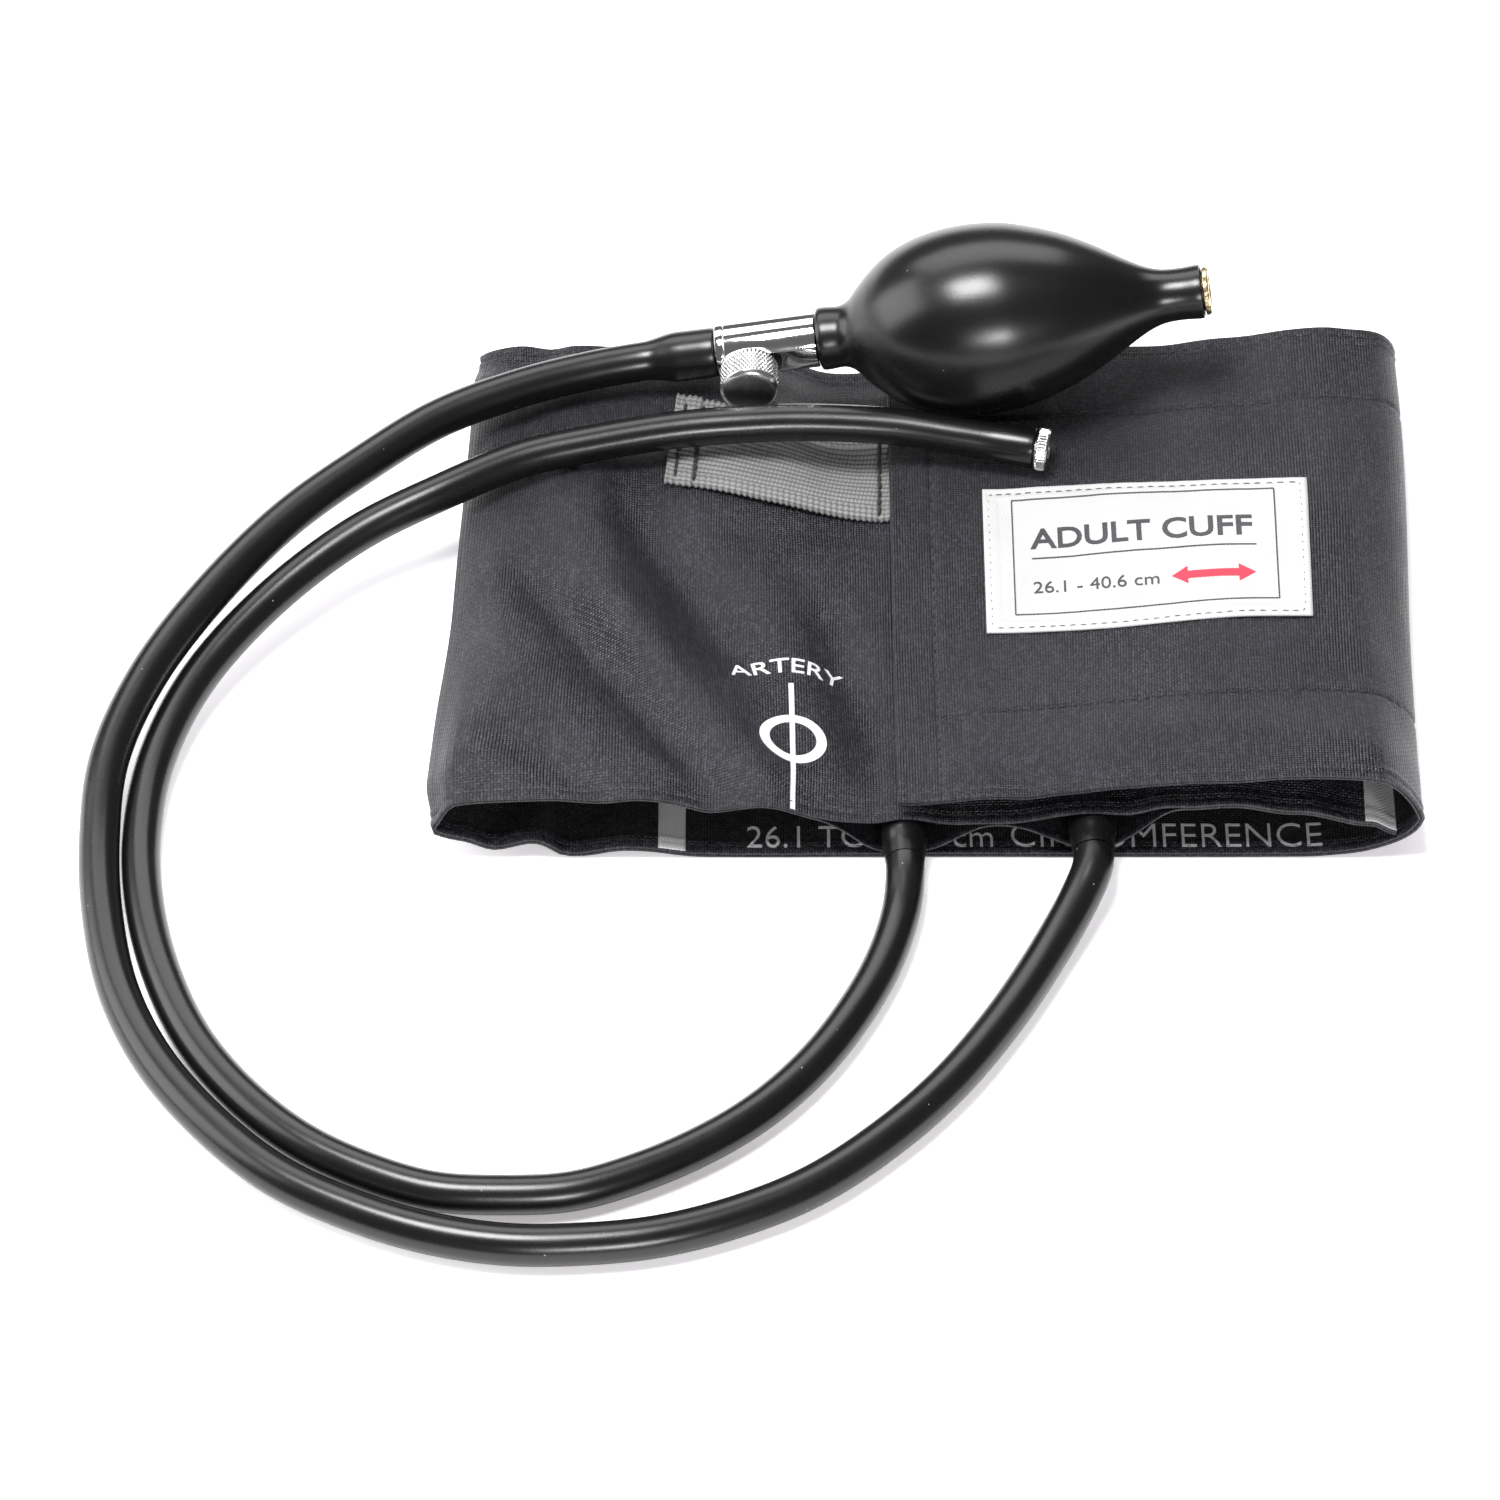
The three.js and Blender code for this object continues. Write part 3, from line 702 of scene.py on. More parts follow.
def stand_off(s, y):
    """How far all sheets together stand off the spiral at a place on the wrap."""
    x = guide_x(s)
    front, back = smooth((-y - 14) / 52), smooth((y - 6) / 60)
    ruffle = smooth((-y - 44) / 24)
    top = eased(x, TOP_FRONT) * front + eased(x, TOP_BACK) * back
    top = top + fold_heights(x, y, TOP_FOLDS) * smooth((x + 103) / 12) * smooth((-2 - x) / 8)
    low = eased(x, LOW_FRONT) * ruffle
    flap = eased(x, FLAP_FRONT) * front + eased(x, FLAP_BACK) * back
    flap = flap + fold_heights(x, y, FLAP_FOLDS) * smooth((104 - x) / 10)
    out = np.where(s < LEFT_TURN, top, np.where(s < RIGHT_TURN, low, flap))
    loose = np.where(s < LEFT_TURN, smooth((-4 - x) / 12), np.where(s < RIGHT_TURN, 0.0, 0.7))
    turn = np.minimum(abs(s - LEFT_TURN), abs(s - RIGHT_TURN))
    loose = loose * smooth(turn / 12) + 0.25 * (1 - smooth(turn / 14)) * smooth((s - 40) / 20)
    out = out + loose * (0.55 * wander(s, y, 31, 1) + 0.28 * wander(s, y, 13, 2))
    edge = HALF_DEPTH - abs(y)
    pucker = 0.34 * wander(s, y * 0.3, 8.5, 3) * (1 - smooth(edge / 13))
    return out + pucker * np.where((s > LEFT_TURN + 26) & (s < RIGHT_TURN - 18), 0.0, 1.0)


def build(s):
    """Thickness of all layers together: thicker where the bladder lies between them."""
    past = np.maximum(s - BLADDER_END, 0) / BUILD_RAMP
    return BLADDER_BUILD + (PLAIN_BUILD - BLADDER_BUILD) * smooth(past)


def corner_shift(x, y):
    """The folds at the two ends don't lie square to the wrap: its corners sit a little off."""
    left, right = smooth((-60 - x) / 44), smooth((x - 62) / 42)
    left_shift = 3.2 * smooth((y + 40) / 110) - 3.6 * smooth((-y - 8) / 60)
    return left * left_shift + right * (0.5 + 3.6 * smooth((y + 62) / 120))


def on_wrap(s, y, h):
    """The point at a height off the arm face. Sheets that meet the table lie on it one over another."""
    s, y, h = np.broadcast_arrays(np.asarray(s, float), y, h)
    run = [np.interp(s, STATIONS, axis) for axis in TANGENT.T]
    size = np.hypot(*run)
    height = h + stand_off(s, y)
    x = guide_x(s)
    x = x + corner_shift(x, y) + run[1] / size * height
    z = np.interp(s, STATIONS, GUIDE[:, 1]) - run[0] / size * height
    lowest = PRESSED * np.maximum(build(s) + HEM_RISE - h, 0)
    return np.stack([x, y, np.maximum(z, lowest)], axis=-1)


def eye(s, y, port, own_z, side):
    """How far a sheet moves up or down to clear a neck that runs out between the two sheets."""
    x = guide_x(s)
    bell = 0.5 + 0.5 * np.cos(math.pi * np.clip((x - port["x"]) / EYE_HALF_WIDTH, -1, 1))
    target = port["z"] + side * (port["radius"] + EYE_CLEAR)
    reach = np.maximum(side * (target - own_z), 0) * side
    return np.where(s < LEFT_TURN, reach * bell * (1 - smooth((y + 64) / 24)), 0.0)


def closing(s, y):
    """0 where the sheets are sewn together at an edge, 1 where they are apart."""
    edge = np.minimum(HALF_DEPTH - abs(y), np.minimum(s, WRAP_LENGTH - s) + 2)
    return smooth((edge - 1.5) / 10)


def hem(y):
    """The turned-in edge of a sheet: 1 on the doubled band, with a groove where its stitches pull down."""
    edge = HALF_DEPTH - abs(y)
    band = 1 - smooth((edge - 3.4) / 1.2)
    groove = np.exp(-(((edge - HEM_STITCH) / 0.55) ** 2))
    return band - 0.9 * groove


def end_round(s):
    """Thins a sheet to a rounded rim at the two ends of the wrap."""
    d = np.clip(np.minimum(s, WRAP_LENGTH - s) / 0.5, 0, 1)
    return 0.25 + 0.75 * np.sqrt(1 - (1 - d) ** 2)


def guide_x(s):
    return np.interp(s, STATIONS, GUIDE[:, 0])


def guide_z(s, y):
    return np.interp(s, STATIONS, GUIDE[:, 1]) + stand_off(s, y)


def outer_low(s, y):
    s, y = np.broadcast_arrays(s, y)
    height = (LINING + SEWN_GAP) + (build(s) - FABRIC - LINING - SEWN_GAP) * closing(s, y)
    own_z = guide_z(s, y) + height
    return height + sum(eye(s, y, port, own_z, 1) for port in PORTS)


def seam_dip(s, y):
    """The shallow valley that the hook patch's sewing pulls into the flap."""
    x = guide_x(s)
    inside = smooth((x - SEAM_X + 1) / 1.5) * (s > RIGHT_TURN)
    rows = sum(np.exp(-(((y - row) / 0.8) ** 2)) for row in (SEAM_FRONT, SEAM_BACK)) * inside
    end = np.exp(-(((x - SEAM_X) / 0.8) ** 2)) * (s > RIGHT_TURN) * smooth((SEAM_BACK - y) / 2)
    return np.minimum(rows + end, 1)


def outer_high(s, y):
    s, y = np.broadcast_arrays(s, y)
    thickness = (FABRIC + HEM_RISE * hem(y)) * end_round(s)
    return outer_low(s, y) + thickness - SEAM_DEPTH * seam_dip(s, y)


def lining_high(s, y):
    s, y = np.broadcast_arrays(s, y)
    own_z = guide_z(s, y) + LINING
    return LINING + sum(eye(s, y, port, own_z, -1) for port in PORTS)


def lining_low(s, y):
    s, y = np.broadcast_arrays(s, y)
    return lining_high(s, y) - (LINING + LINING_HEM_RISE * hem(y)) * end_round(s)


def slab(name, stations, widths, low, high, place, material, rim=3):
    """A closed strip with rounded long edges. Low and high are heights as functions of (station, y)."""
    s, y = np.asarray(stations, float)[:, None], np.asarray(widths, float)[None, :]
    low, high = (np.broadcast_to(height(s, y), (len(stations), len(widths))) for height in (low, high))
    top = [(y[:, j], high[:, j]) for j in range(len(widths))]
    under = [(y[:, j], low[:, j]) for j in reversed(range(len(widths)))]
    columns = top + rim_columns(y[:, -1], low[:, -1], high[:, -1], 1, rim)
    columns += under + rim_columns(y[:, 0], low[:, 0], high[:, 0], -1, rim)
    ys = np.stack([np.broadcast_to(c[0], len(stations)) for c in columns], axis=1)
    hs = np.stack([c[1] for c in columns], axis=1)
    ss = np.broadcast_to(s, ys.shape)
    points = place(ss, ys, hs).reshape(-1, 3)
    cloth = np.stack([ss, ys, hs], axis=-1).reshape(-1, 3)
    faces = loop_faces(len(stations), len(columns))
    for first in (0, (len(stations) - 1) * len(columns)):
        faces += end_faces(first, len(widths), rim, flip=first == 0)
    obj = new_piece(name, points, faces, material, cloth=cloth)
    tidy_mesh(obj)
    return obj


def rim_columns(y, low, high, side, rim):
    """The rounded rim's points, going down from the top face or back up from the underside."""
    radius, middle = (high - low) / 2, (high + low) / 2
    angles = [math.pi * k / (rim + 1) for k in range(1, rim + 1)]
    return [(y + side * radius * math.sin(a), middle + side * radius * math.cos(a)) for a in angles]


def end_faces(first, width_count, rim, flip):
    """Faces that close one end of a strip."""
    turn = first + width_count + rim
    top = list(range(first, first + width_count))
    right = list(range(first + width_count, turn))
    bottom = list(range(turn, turn + width_count))[::-1]
    left = list(range(turn + width_count, turn + width_count + rim))
    faces = [[top[j], top[j + 1], bottom[j + 1], bottom[j]] for j in range(width_count - 1)]
    faces.append([top[-1], *right, bottom[-1]])
    faces.append([bottom[0], *left, top[0]])
    return [face[::-1] for face in faces] if flip else faces


def hemmed_widths():
    """Rows across the cloth: close together over the hems, wider between."""
    inner = HALF_DEPTH - 7
    fine = even(inner, HALF_DEPTH - 0.35, 0.42)
    plain = even(-inner, inner, 1.8)[1:-1]
    seams = np.concatenate([even(row - 1.6, row + 1.6, 0.4) for row in (SEAM_FRONT, SEAM_BACK)])
    clear = np.abs(plain[:, None] - (SEAM_FRONT, SEAM_BACK)).min(axis=1) > 2.2
    return np.sort(np.concatenate([-fine, plain[clear], seams, fine]))


def wrap_stations():
    """Stations along the whole wrap, close together at its two rounded ends."""
    tips = np.array([0, 0.12, 0.3, 0.6])
    seam = WRAP_LENGTH - (SEAM_X - GUIDE[-1, 0])
    near_seam = even(seam - 1.6, seam + 1.6, 0.4)
    before, after = even(1.4, seam - 2.4, 1.6), even(seam + 2.4, WRAP_LENGTH - 1.4, 1.6)
    return np.concatenate([tips, before, near_seam, after, WRAP_LENGTH - tips[::-1]])


OUTER_PANELS = [
    "outer_bladder_panel", "outer_left_fold", "outer_bottom_panel", "outer_right_fold", "outer_flap_panel",
]


def add_wrap():
    """The outer nylon and the lining, from the index end round to the flap's end."""
    stations, widths = wrap_stations(), hemmed_widths()
    outer = slab("outer_cloth", stations, widths, outer_low, outer_high, on_wrap, CHARCOAL)
    made_of(outer, "outer_nylon", *OUTER_PANELS)
    lining = slab("lining_cloth", stations, widths, lining_low, lining_high, on_wrap, BLACK_NYLON)
    made_of(lining, "lining_nylon", "inner_lining")
    turn_in(lining)
    return outer, lining


def turn_in(lining):
    """The outer nylon is turned over the lining's edges, so a band there has its look."""
    mesh = lining.data
    mesh.materials.append(CHARCOAL)
    for face in mesh.polygons:
        if abs(face.center.y) > (HALF_DEPTH - 3.7) * MM:
            face.material_index = 1


def add_bladder():
    """The flat rubber bag: two walls pressed together, with a rounded welded rim."""
    start, end = 14.0, BLADDER_END - 1
    stations = np.concatenate([[start, start + 0.2], even(start + 0.6, end - 0.6, 4), [end - 0.2, end]])

    def half(s, y):
        d = np.clip(np.minimum(s - start, end - s) / 0.6, 0, 1)
        rim = smooth((BLADDER_HALF_DEPTH - abs(y)) / 5)
        return (0.2 + 0.8 * np.sqrt(1 - (1 - d) ** 2)) * (0.4 + 0.2 * rim)

    middle = LINING + 0.9
    widths = np.concatenate([[-59.4], even(-57, 57, 4), [59.4]])
    bag = slab(
        "air_bag", stations, widths, lambda s, y: middle - half(s, y), lambda s, y: middle + half(s, y),
        on_wrap, BLADDER_RUBBER,
    )
    made_of(bag, "bladder_rubber", "bladder")


outer_cloth, lining_cloth = add_wrap()
add_bladder()


# ---- small pieces laid on the cloth ----
def station_on(run, x):
    """Station of a place on the upper run, the lower run or the flap, from its x."""
    turns = [0, LEFT_TURN, RIGHT_TURN, WRAP_LENGTH]
    k = ("top", "low", "flap").index(run)
    first, last = turns[k], turns[k + 1]
    inside = (STATIONS >= first) & (STATIONS <= last)
    xs, ss = GUIDE[inside, 0], STATIONS[inside]
    if xs[0] > xs[-1]:
        xs, ss = xs[::-1], ss[::-1]
    return np.interp(x, xs, ss)


def over_cloth(s, y, h):
    """The point at a height over the outer nylon."""
    return on_wrap(s, y, outer_high(s, y) + h)


def under_cloth(s, y, h):
    """The point at a height off the lining's inner face, on the arm side."""
    return on_wrap(s, y, lining_low(s, y) - h)


def over_top(x, y, h):
    return over_cloth(station_on("top", x), y, h)


def under_low(x, y, h):
    return under_cloth(station_on("low", x), y, h)


def merge(parts):
    """One list of points and one of faces from several."""
    points, faces, count = [], [], 0
    for part_points, part_faces in parts:
        points.append(np.asarray(part_points))
        faces += [[i + count for i in face] for face in part_faces]
        count += len(part_points)
    return np.vstack(points), faces


STITCH_SIDES = 6
STITCH_DRIFT, STITCH_SWAY = 0.12, 0.07
# Share of the length, share of the radius, and how many radii the thread's middle stands over the cloth.
STITCH_SHAPE = np.array(
    [(0, 0.35, -1.1), (0.12, 0.8, 0.1), (0.5, 1.0, 0.5), (0.88, 0.8, 0.1), (1, 0.35, -1.1)]
)


def stitch(start, end, radius, up):
    """One stitch: a short thread that dips into the cloth at both ends."""
    along, sizes, rises = STITCH_SHAPE.T[:, :, None]
    centres = start + (end - start) * along + up * radius * rises
    side = unit(np.cross(end - start, up))
    return tube(centres, radius * sizes, side[None], up[None], STITCH_SIDES)


def stitch_row(place, path, pitch, length, radius, seed=0):
    """Stitches along a path of plan points, each a little uneven."""
    random = np.random.default_rng(seed)
    path = np.array(path, float)
    along = distance_along(path)
    starts = np.arange(pitch / 2, along[-1] - length, pitch)
    starts = starts + random.uniform(-STITCH_DRIFT, STITCH_DRIFT, len(starts))
    sway = random.uniform(-STITCH_SWAY, STITCH_SWAY, (len(starts), 2))
    parts = []
    for begin, off in zip(starts, sway):
        ends = [on_line(begin + d, along, path) + off for d in (0, length)]
        a, b, c = (place(*p, h) for p, h in ((ends[0], 0), (ends[1], 0), (ends[0], -0.5)))
        up = (a - c) / np.linalg.norm(a - c)
        parts.append(stitch(a.reshape(3), b.reshape(3), radius, up.reshape(3)))
    return parts


def add_stitches(name, rows, material, slot):
    points, faces = merge([part for row in rows for part in row])
    points[:, 2] = np.maximum(points[:, 2], 0.03)
    return made_of(new_piece(name, points, faces, material), slot)


def add_seams():
    """Topstitching along both hems, on the outer and the arm side, and round the hook patch."""
    rows = []
    for k, edge in enumerate((HEM_STITCH - HALF_DEPTH, HALF_DEPTH - HEM_STITCH)):
        path = [(3, edge), (WRAP_LENGTH - 2, edge)]
        rows.append(stitch_row(over_cloth, path, 2.9, 2.1, 0.17, seed=k))
        rows.append(stitch_row(under_cloth, path, 2.9, 2.1, 0.15, seed=k + 2))
    corners = ((104, SEAM_BACK), (SEAM_X, SEAM_BACK), (SEAM_X, SEAM_FRONT), (104, SEAM_FRONT))
    flap = [(station_on("flap", x), y) for x, y in corners]
    rows.append(stitch_row(over_cloth, flap, 2.7, 2.1, 0.21, seed=5))
    front = [(station_on("flap", SEAM_X), y) for y in (SEAM_FRONT, -70)]
    rows.append(stitch_row(over_cloth, front, 2.7, 2.1, 0.21, seed=6))
    return add_stitches("seam_thread", rows, DARK_THREAD, "outer_nylon")


PILE_TUFT = 2.1


def over_outer(clear, rough=0, seed=0):
    return lambda s, y: outer_high(s, y) + clear + rough * wander(s, y, PILE_TUFT, seed)


def under_lining(clear, rough=0, seed=0):
    return lambda s, y: lining_low(s, y) - clear - rough * wander(s, y, PILE_TUFT, seed)


def add_flat_pieces():
    """Loop pile on the upper run, hook pile under the flap, the index tape and the range tape."""
    patch_rows, tape_rows = even(SEAM_FRONT, SEAM_BACK, 2), hemmed_widths()
    loop = even(station_on("top", 93), station_on("top", 3), 2)
    hook = even(station_on("flap", 97), station_on("flap", 3), 2)
    index = np.concatenate([[0.05, 0.25], even(0.6, 6.7, 0.8), [7]])
    band = even(station_on("low", -59), station_on("low", -53), 0.75)
    pieces = [
        ("loop_pile", "loop_patch", "hook_and_loop", PILE, loop, patch_rows,
         over_outer(0.08), over_outer(0.62, 0.12, 7)),
        ("hook_pile", "hook_patch", "hook_and_loop", PILE, hook, patch_rows,
         under_lining(0.55, 0.1, 8), under_lining(0.06)),
        ("index_ribbon", "index_tape", "white_satin", WHITE_SATIN, index, tape_rows,
         over_outer(0.04), over_outer(0.3)),
        ("range_ribbon", "range_tape", "grey_satin", SILVER_SATIN, band, tape_rows,
         under_lining(0.3), under_lining(0.04)),
    ]
    return [
        made_of(slab(name, stations, rows, low, high, on_wrap, material), slot, stands_for)
        for name, stands_for, slot, material, stations, rows, low, high in pieces
    ]


# ---- gauge strap: ribbed webbing, bowed, askew towards its left end, which is turned under ----
STRAP_RIGHT, STRAP_LEFT = -6.2, -58.5
STRAP_FRONT, STRAP_BACK = 20.3, 46.6
STRAP_THICK = 1.15
STRAP_SEAMS = (-56.3, -52.2, -9.6)
RIB_PITCH = 1.37


def along_strap(x):
    return np.clip((STRAP_RIGHT - x) / (STRAP_RIGHT - STRAP_LEFT), 0, 1)


def strap_low(x, y):
    return 0.15 + 0.9 * np.sin(math.pi * along_strap(x)) ** 1.3


def floats(x, y):
    """Height 0..1 of the webbing's short floats, in rows that are half a float out of step."""
    row = np.floor(y / FLOAT_ROWS)
    across = np.abs(np.sin(math.pi * y / FLOAT_ROWS)) ** 0.6
    along = np.abs(np.sin(math.pi * (x / FLOAT_PITCH + 0.5 * row + 0.25 * (y / FLOAT_ROWS)))) ** 0.7
    return across * (0.2 + 0.8 * along)


def strap_high(x, y):
    """Its face: floats, corded selvages, a dip along each sewn line and a doubled left end."""
    edge = np.minimum(y - STRAP_FRONT, STRAP_BACK - y)
    selvage = 1 - smooth((edge - 3.6) / 0.5)
    rib = np.sqrt(np.abs(np.sin(math.pi * x / RIB_PITCH)))
    dips = sum(np.exp(-(((x - line) / 0.7) ** 2)) for line in STRAP_SEAMS)
    turned_under = 0.5 * (1 - smooth((x - STRAP_LEFT - 5.6) / 0.8))
    face = 0.42 * floats(x, y) * (1 - selvage) + selvage * (0.5 * rib - 0.02)
    return strap_low(x, y) + STRAP_THICK - 0.3 + face - 0.3 * dips + turned_under


def on_strap(x, y, h):
    skewed = y + 6.6 * along_strap(x) ** 2.2 + 0.9 * along_strap(x) * (y - STRAP_FRONT) / 26
    near_edge = smooth(1 - (y - STRAP_FRONT) / 1.6) - smooth(1 - (STRAP_BACK - y) / 1.6)
    skewed = skewed + 0.4 * near_edge * np.abs(np.cos(math.pi * x / RIB_PITCH))
    leaning = x + 0.1 * (y - STRAP_FRONT) * along_strap(x)
    return over_top(leaning, skewed, h)


def over_strap(x, y, h):
    return on_strap(x, y, strap_low(x, y) + STRAP_THICK + 0.12 + h)


def add_strap():
    xs = even(STRAP_RIGHT, STRAP_LEFT, 0.2)
    ys = even(STRAP_FRONT + 0.3, STRAP_BACK - 0.3, 0.25)
    strap = slab("gauge_webbing", xs, ys, strap_low, strap_high, on_strap, WEBBING)
    made_of(strap, "grey_webbing", "gauge_strap")
    rows = []
    for k, line in enumerate(STRAP_SEAMS):
        path = [(line, STRAP_FRONT + 0.2), (line + 0.25, STRAP_BACK - 0.2)]
        rows.append(stitch_row(over_strap, path, 2.5, 2.5, 0.52, seed=20 + k))
    sewing = add_stitches("strap_thread", rows, DARK_THREAD, "hook_and_loop")
    return [strap, sewing]


# ---- size label on the flap, woven white with folded edges ----
LABEL_LEFT, LABEL_RIGHT = 14.0, 85.5
LABEL_FRONT, LABEL_BACK = -17.8, 25.4
LABEL_SKEW = 0.058
LABEL_STITCH = 1.55
LETTER_SIZE, LETTER_GRID = 8, 1.0
# Printing stands a little over the threads and reaches down between them.
INK_LOW, INK_HIGH = -0.06, 0.14


def label_low(x, y):
    return 0.15 + 0.5 * np.maximum(wander(x, y, 15, 11), -0.25)


def label_edge(x, y):
    across = np.minimum(x - LABEL_LEFT, LABEL_RIGHT - x)
    return np.minimum(across, np.minimum(y - LABEL_FRONT, LABEL_BACK - y))


def label_high(x, y):
    """Doubled for 3 mm round the edge, and pulled down along its stitches."""
    edge = label_edge(x, y)
    folded = 0.35 * (1 - smooth((edge - 2.9) / 0.9))
    stitched = 0.35 * np.exp(-(((edge - LABEL_STITCH) / 0.45) ** 2))
    nap = 0.05 * wander(x, y, 2.3, 12)
    return label_low(x, y) + 0.35 + folded - stitched + nap


def on_label(x, y, h):
    return over_cloth(station_on("flap", x), y - LABEL_SKEW * (x - LABEL_LEFT), h)


def over_label(x, y, h):
    return on_label(x, y, label_high(x, y) + h)


def frame_path(inset, inset_back):
    left, right = LABEL_LEFT + inset, LABEL_RIGHT - inset
    front, back = LABEL_FRONT + max(inset_back, inset - 1.4), LABEL_BACK - inset_back
    return [(left, front), (right, front), (right, back), (left, back), (left, front)]


def ribbon_along(place, path, width, step=1.0):
    """A thin printed line along straight runs of plan points."""
    parts = []
    for a, b in zip(path, path[1:]):
        a, b = np.array(a, float), np.array(b, float)
        run = b - a
        side = np.array([-run[1], run[0]]) / np.linalg.norm(run) * width / 2
        ts = even(0, 1, step / np.linalg.norm(run))
        centre = a + run * ts[:, None]
        corners = [(side, INK_HIGH), (-side, INK_HIGH), (-side, INK_LOW), (side, INK_LOW)]
        rings = np.stack([place(*(centre + off).T, h) for off, h in corners], axis=1)
        parts.append((rings.reshape(-1, 3), loop_faces(len(ts), 4) + end_caps(len(ts), 4)))
    return parts


def cut_finely(mesh, step):
    """Cuts a flat mesh along a grid, so that it can be laid on a curved one."""
    bm = bmesh.new()
    bm.from_mesh(mesh)
    for axis in (0, 1):
        places = [v.co[axis] for v in bm.verts]
        normal = Vector((1 - axis, axis, 0))
        for place in np.arange(min(places) + step / 2, max(places), step):
            everything = [*bm.verts, *bm.edges, *bm.faces]
            bmesh.ops.bisect_plane(bm, geom=everything, plane_co=normal * float(place), plane_no=normal)
    bm.to_mesh(mesh)
    bm.free()


def lettering(text, width, place, start, bold=0.0, arch=None, tall=1.0):
    """Raised printing of a word that wide. Start is its baseline's left end, or its middle if arched."""
    data = bpy.data.curves.new("word", "FONT")
    data.body, data.size, data.offset = text, LETTER_SIZE, bold
    data.extrude, data.resolution_u = 0.5, 4
    data.align_x = "CENTER" if arch else "LEFT"
    word = link("word", data)
    shape = bpy.data.meshes.new_from_object(word.evaluated_get(bpy.context.evaluated_depsgraph_get()))
    cut_finely(shape, LETTER_GRID)
    points = np.array([v.co for v in shape.vertices], float)
    faces = [list(p.vertices) for p in shape.polygons]
    bpy.data.objects.remove(word)
    bpy.data.curves.remove(data)
    bpy.data.meshes.remove(shape)
    grown = width / np.ptp(points[:, 0])
    u, v = points[:, 0] * grown, points[:, 1] * grown * tall
    if arch:
        angle = u / arch
        u, v = (arch + v) * np.sin(angle), (arch + v) * np.cos(angle) - arch
    height = np.where(points[:, 2] > 0, INK_HIGH, INK_LOW)
    return place(start[0] + u, start[1] + v, height), faces


def add_print(name, parts, material, slot):
    obj = new_piece(name, *merge(parts), material, sharp=30)
    tidy_mesh(obj)
    return made_of(obj, slot)


def add_label():
    xs = even(LABEL_RIGHT - 0.2, LABEL_LEFT + 0.2, 0.85)
    front = even(LABEL_FRONT + 0.3, LABEL_FRONT + 5.2, 0.45)
    back = even(LABEL_BACK - 5.2, LABEL_BACK - 0.3, 0.45)
    ys = np.concatenate([front, even(LABEL_FRONT + 6, LABEL_BACK - 6, 1.2), back])
    label = slab("woven_label", xs, ys, label_low, label_high, on_label, WHITE_SATIN)
    made_of(label, "white_satin", "size_label")
    sewing = [stitch_row(over_label, frame_path(LABEL_STITCH, LABEL_STITCH), 2.3, 1.6, 0.17, seed=30)]
    sewing = add_stitches("label_thread", sewing, GREY_THREAD, "grey_webbing")
    left, right, top = LABEL_LEFT + 11, LABEL_RIGHT - 11, LABEL_BACK
    dark = ribbon_along(over_label, frame_path(6.9, 3.6), 0.32)
    dark += ribbon_along(over_label, [(left, top - 21), (right, top - 21)], 0.35)
    dark.append(lettering("ADULT CUFF", 49, over_label, (left, top - 18), bold=0.14))
    dark.append(lettering("26.1 - 40.6 cm", 28, over_label, (left, top - 31.5)))
    words = add_print("label_words", dark, DARK_INK, "white_satin")
    bar_y, bar_left, bar_right = top - 29.6, right - 15, right - 4
    bar = ribbon_along(over_label, [(bar_left, bar_y), (bar_right, bar_y)], 2.2)
    for tip, tail in ((bar_left - 3.5, bar_left), (bar_right + 3.5, bar_right)):
        bar.append(arrow_head(over_label, tip, tail, bar_y, 2.6))
    arrows = add_print("label_range_arrow", bar, RED_INK, "white_satin")
    return [label, sewing, words, arrows]


def arrow_head(place, tip, tail, y, half):
    corners = np.array([(tip, y), (tail, y - half), (tail, y + half)])
    points = [place(corners[:, 0], corners[:, 1], h) for h in (INK_HIGH, INK_LOW)]
    return np.vstack(points), [[0, 1, 2], [5, 4, 3], [0, 3, 4, 1], [1, 4, 5, 2], [2, 5, 3, 0]]


# ---- printed marks ----
ARTERY_X = -30.3
RING_Y, RING_INNER, RING_OUTER = -52.3, 5.2, 7.5
MARK_WIDTH = 1.15


def ring_mark(place, centre, inner, outer, sides=64):
    """A printed ring."""
    turn = np.stack([np.cos(ring_angles(sides)), np.sin(ring_angles(sides))])
    corners = ((outer, INK_HIGH), (inner, INK_HIGH), (inner, INK_LOW), (outer, INK_LOW))
    rings = [place(*(np.array(centre)[:, None] + r * turn), h) for r, h in corners]
    points = np.stack(rings, axis=1).reshape(-1, 3)
    return points, loop_faces(sides, 4, closed_rows=True)


def add_artery_mark():
    parts = [ring_mark(over_top, (ARTERY_X, RING_Y), RING_INNER, RING_OUTER)]
    # The line stops at the ring, crosses its open middle and ends on the hem.
    for back, front, step in (
        (-34.2, RING_Y + 7.3, 1.0), (RING_Y + 5.3, RING_Y - 5.3, 1.0), (RING_Y - 7.3, -72.3, 0.4),
    ):
        parts += ribbon_along(over_top, [(ARTERY_X, back), (ARTERY_X, front)], MARK_WIDTH, step)
    parts.append(lettering("ARTERY", 24.5, over_top, (ARTERY_X - 0.8, -30.4), bold=0.05, arch=60))
    return add_print("artery_mark", parts, WHITE_INK, "white_satin")


def add_lining_print():
    parts = [
        lettering("26.1 TO 40.6 cm", 54, under_low, (-39.8, -70.6), bold=-0.06, tall=1.15),
        lettering("CIRCUMFERENCE", 68, under_low, (18, -70.6), bold=-0.1, tall=1.15),
    ]
    return add_print("range_print", parts, GREY_INK, "grey_satin")


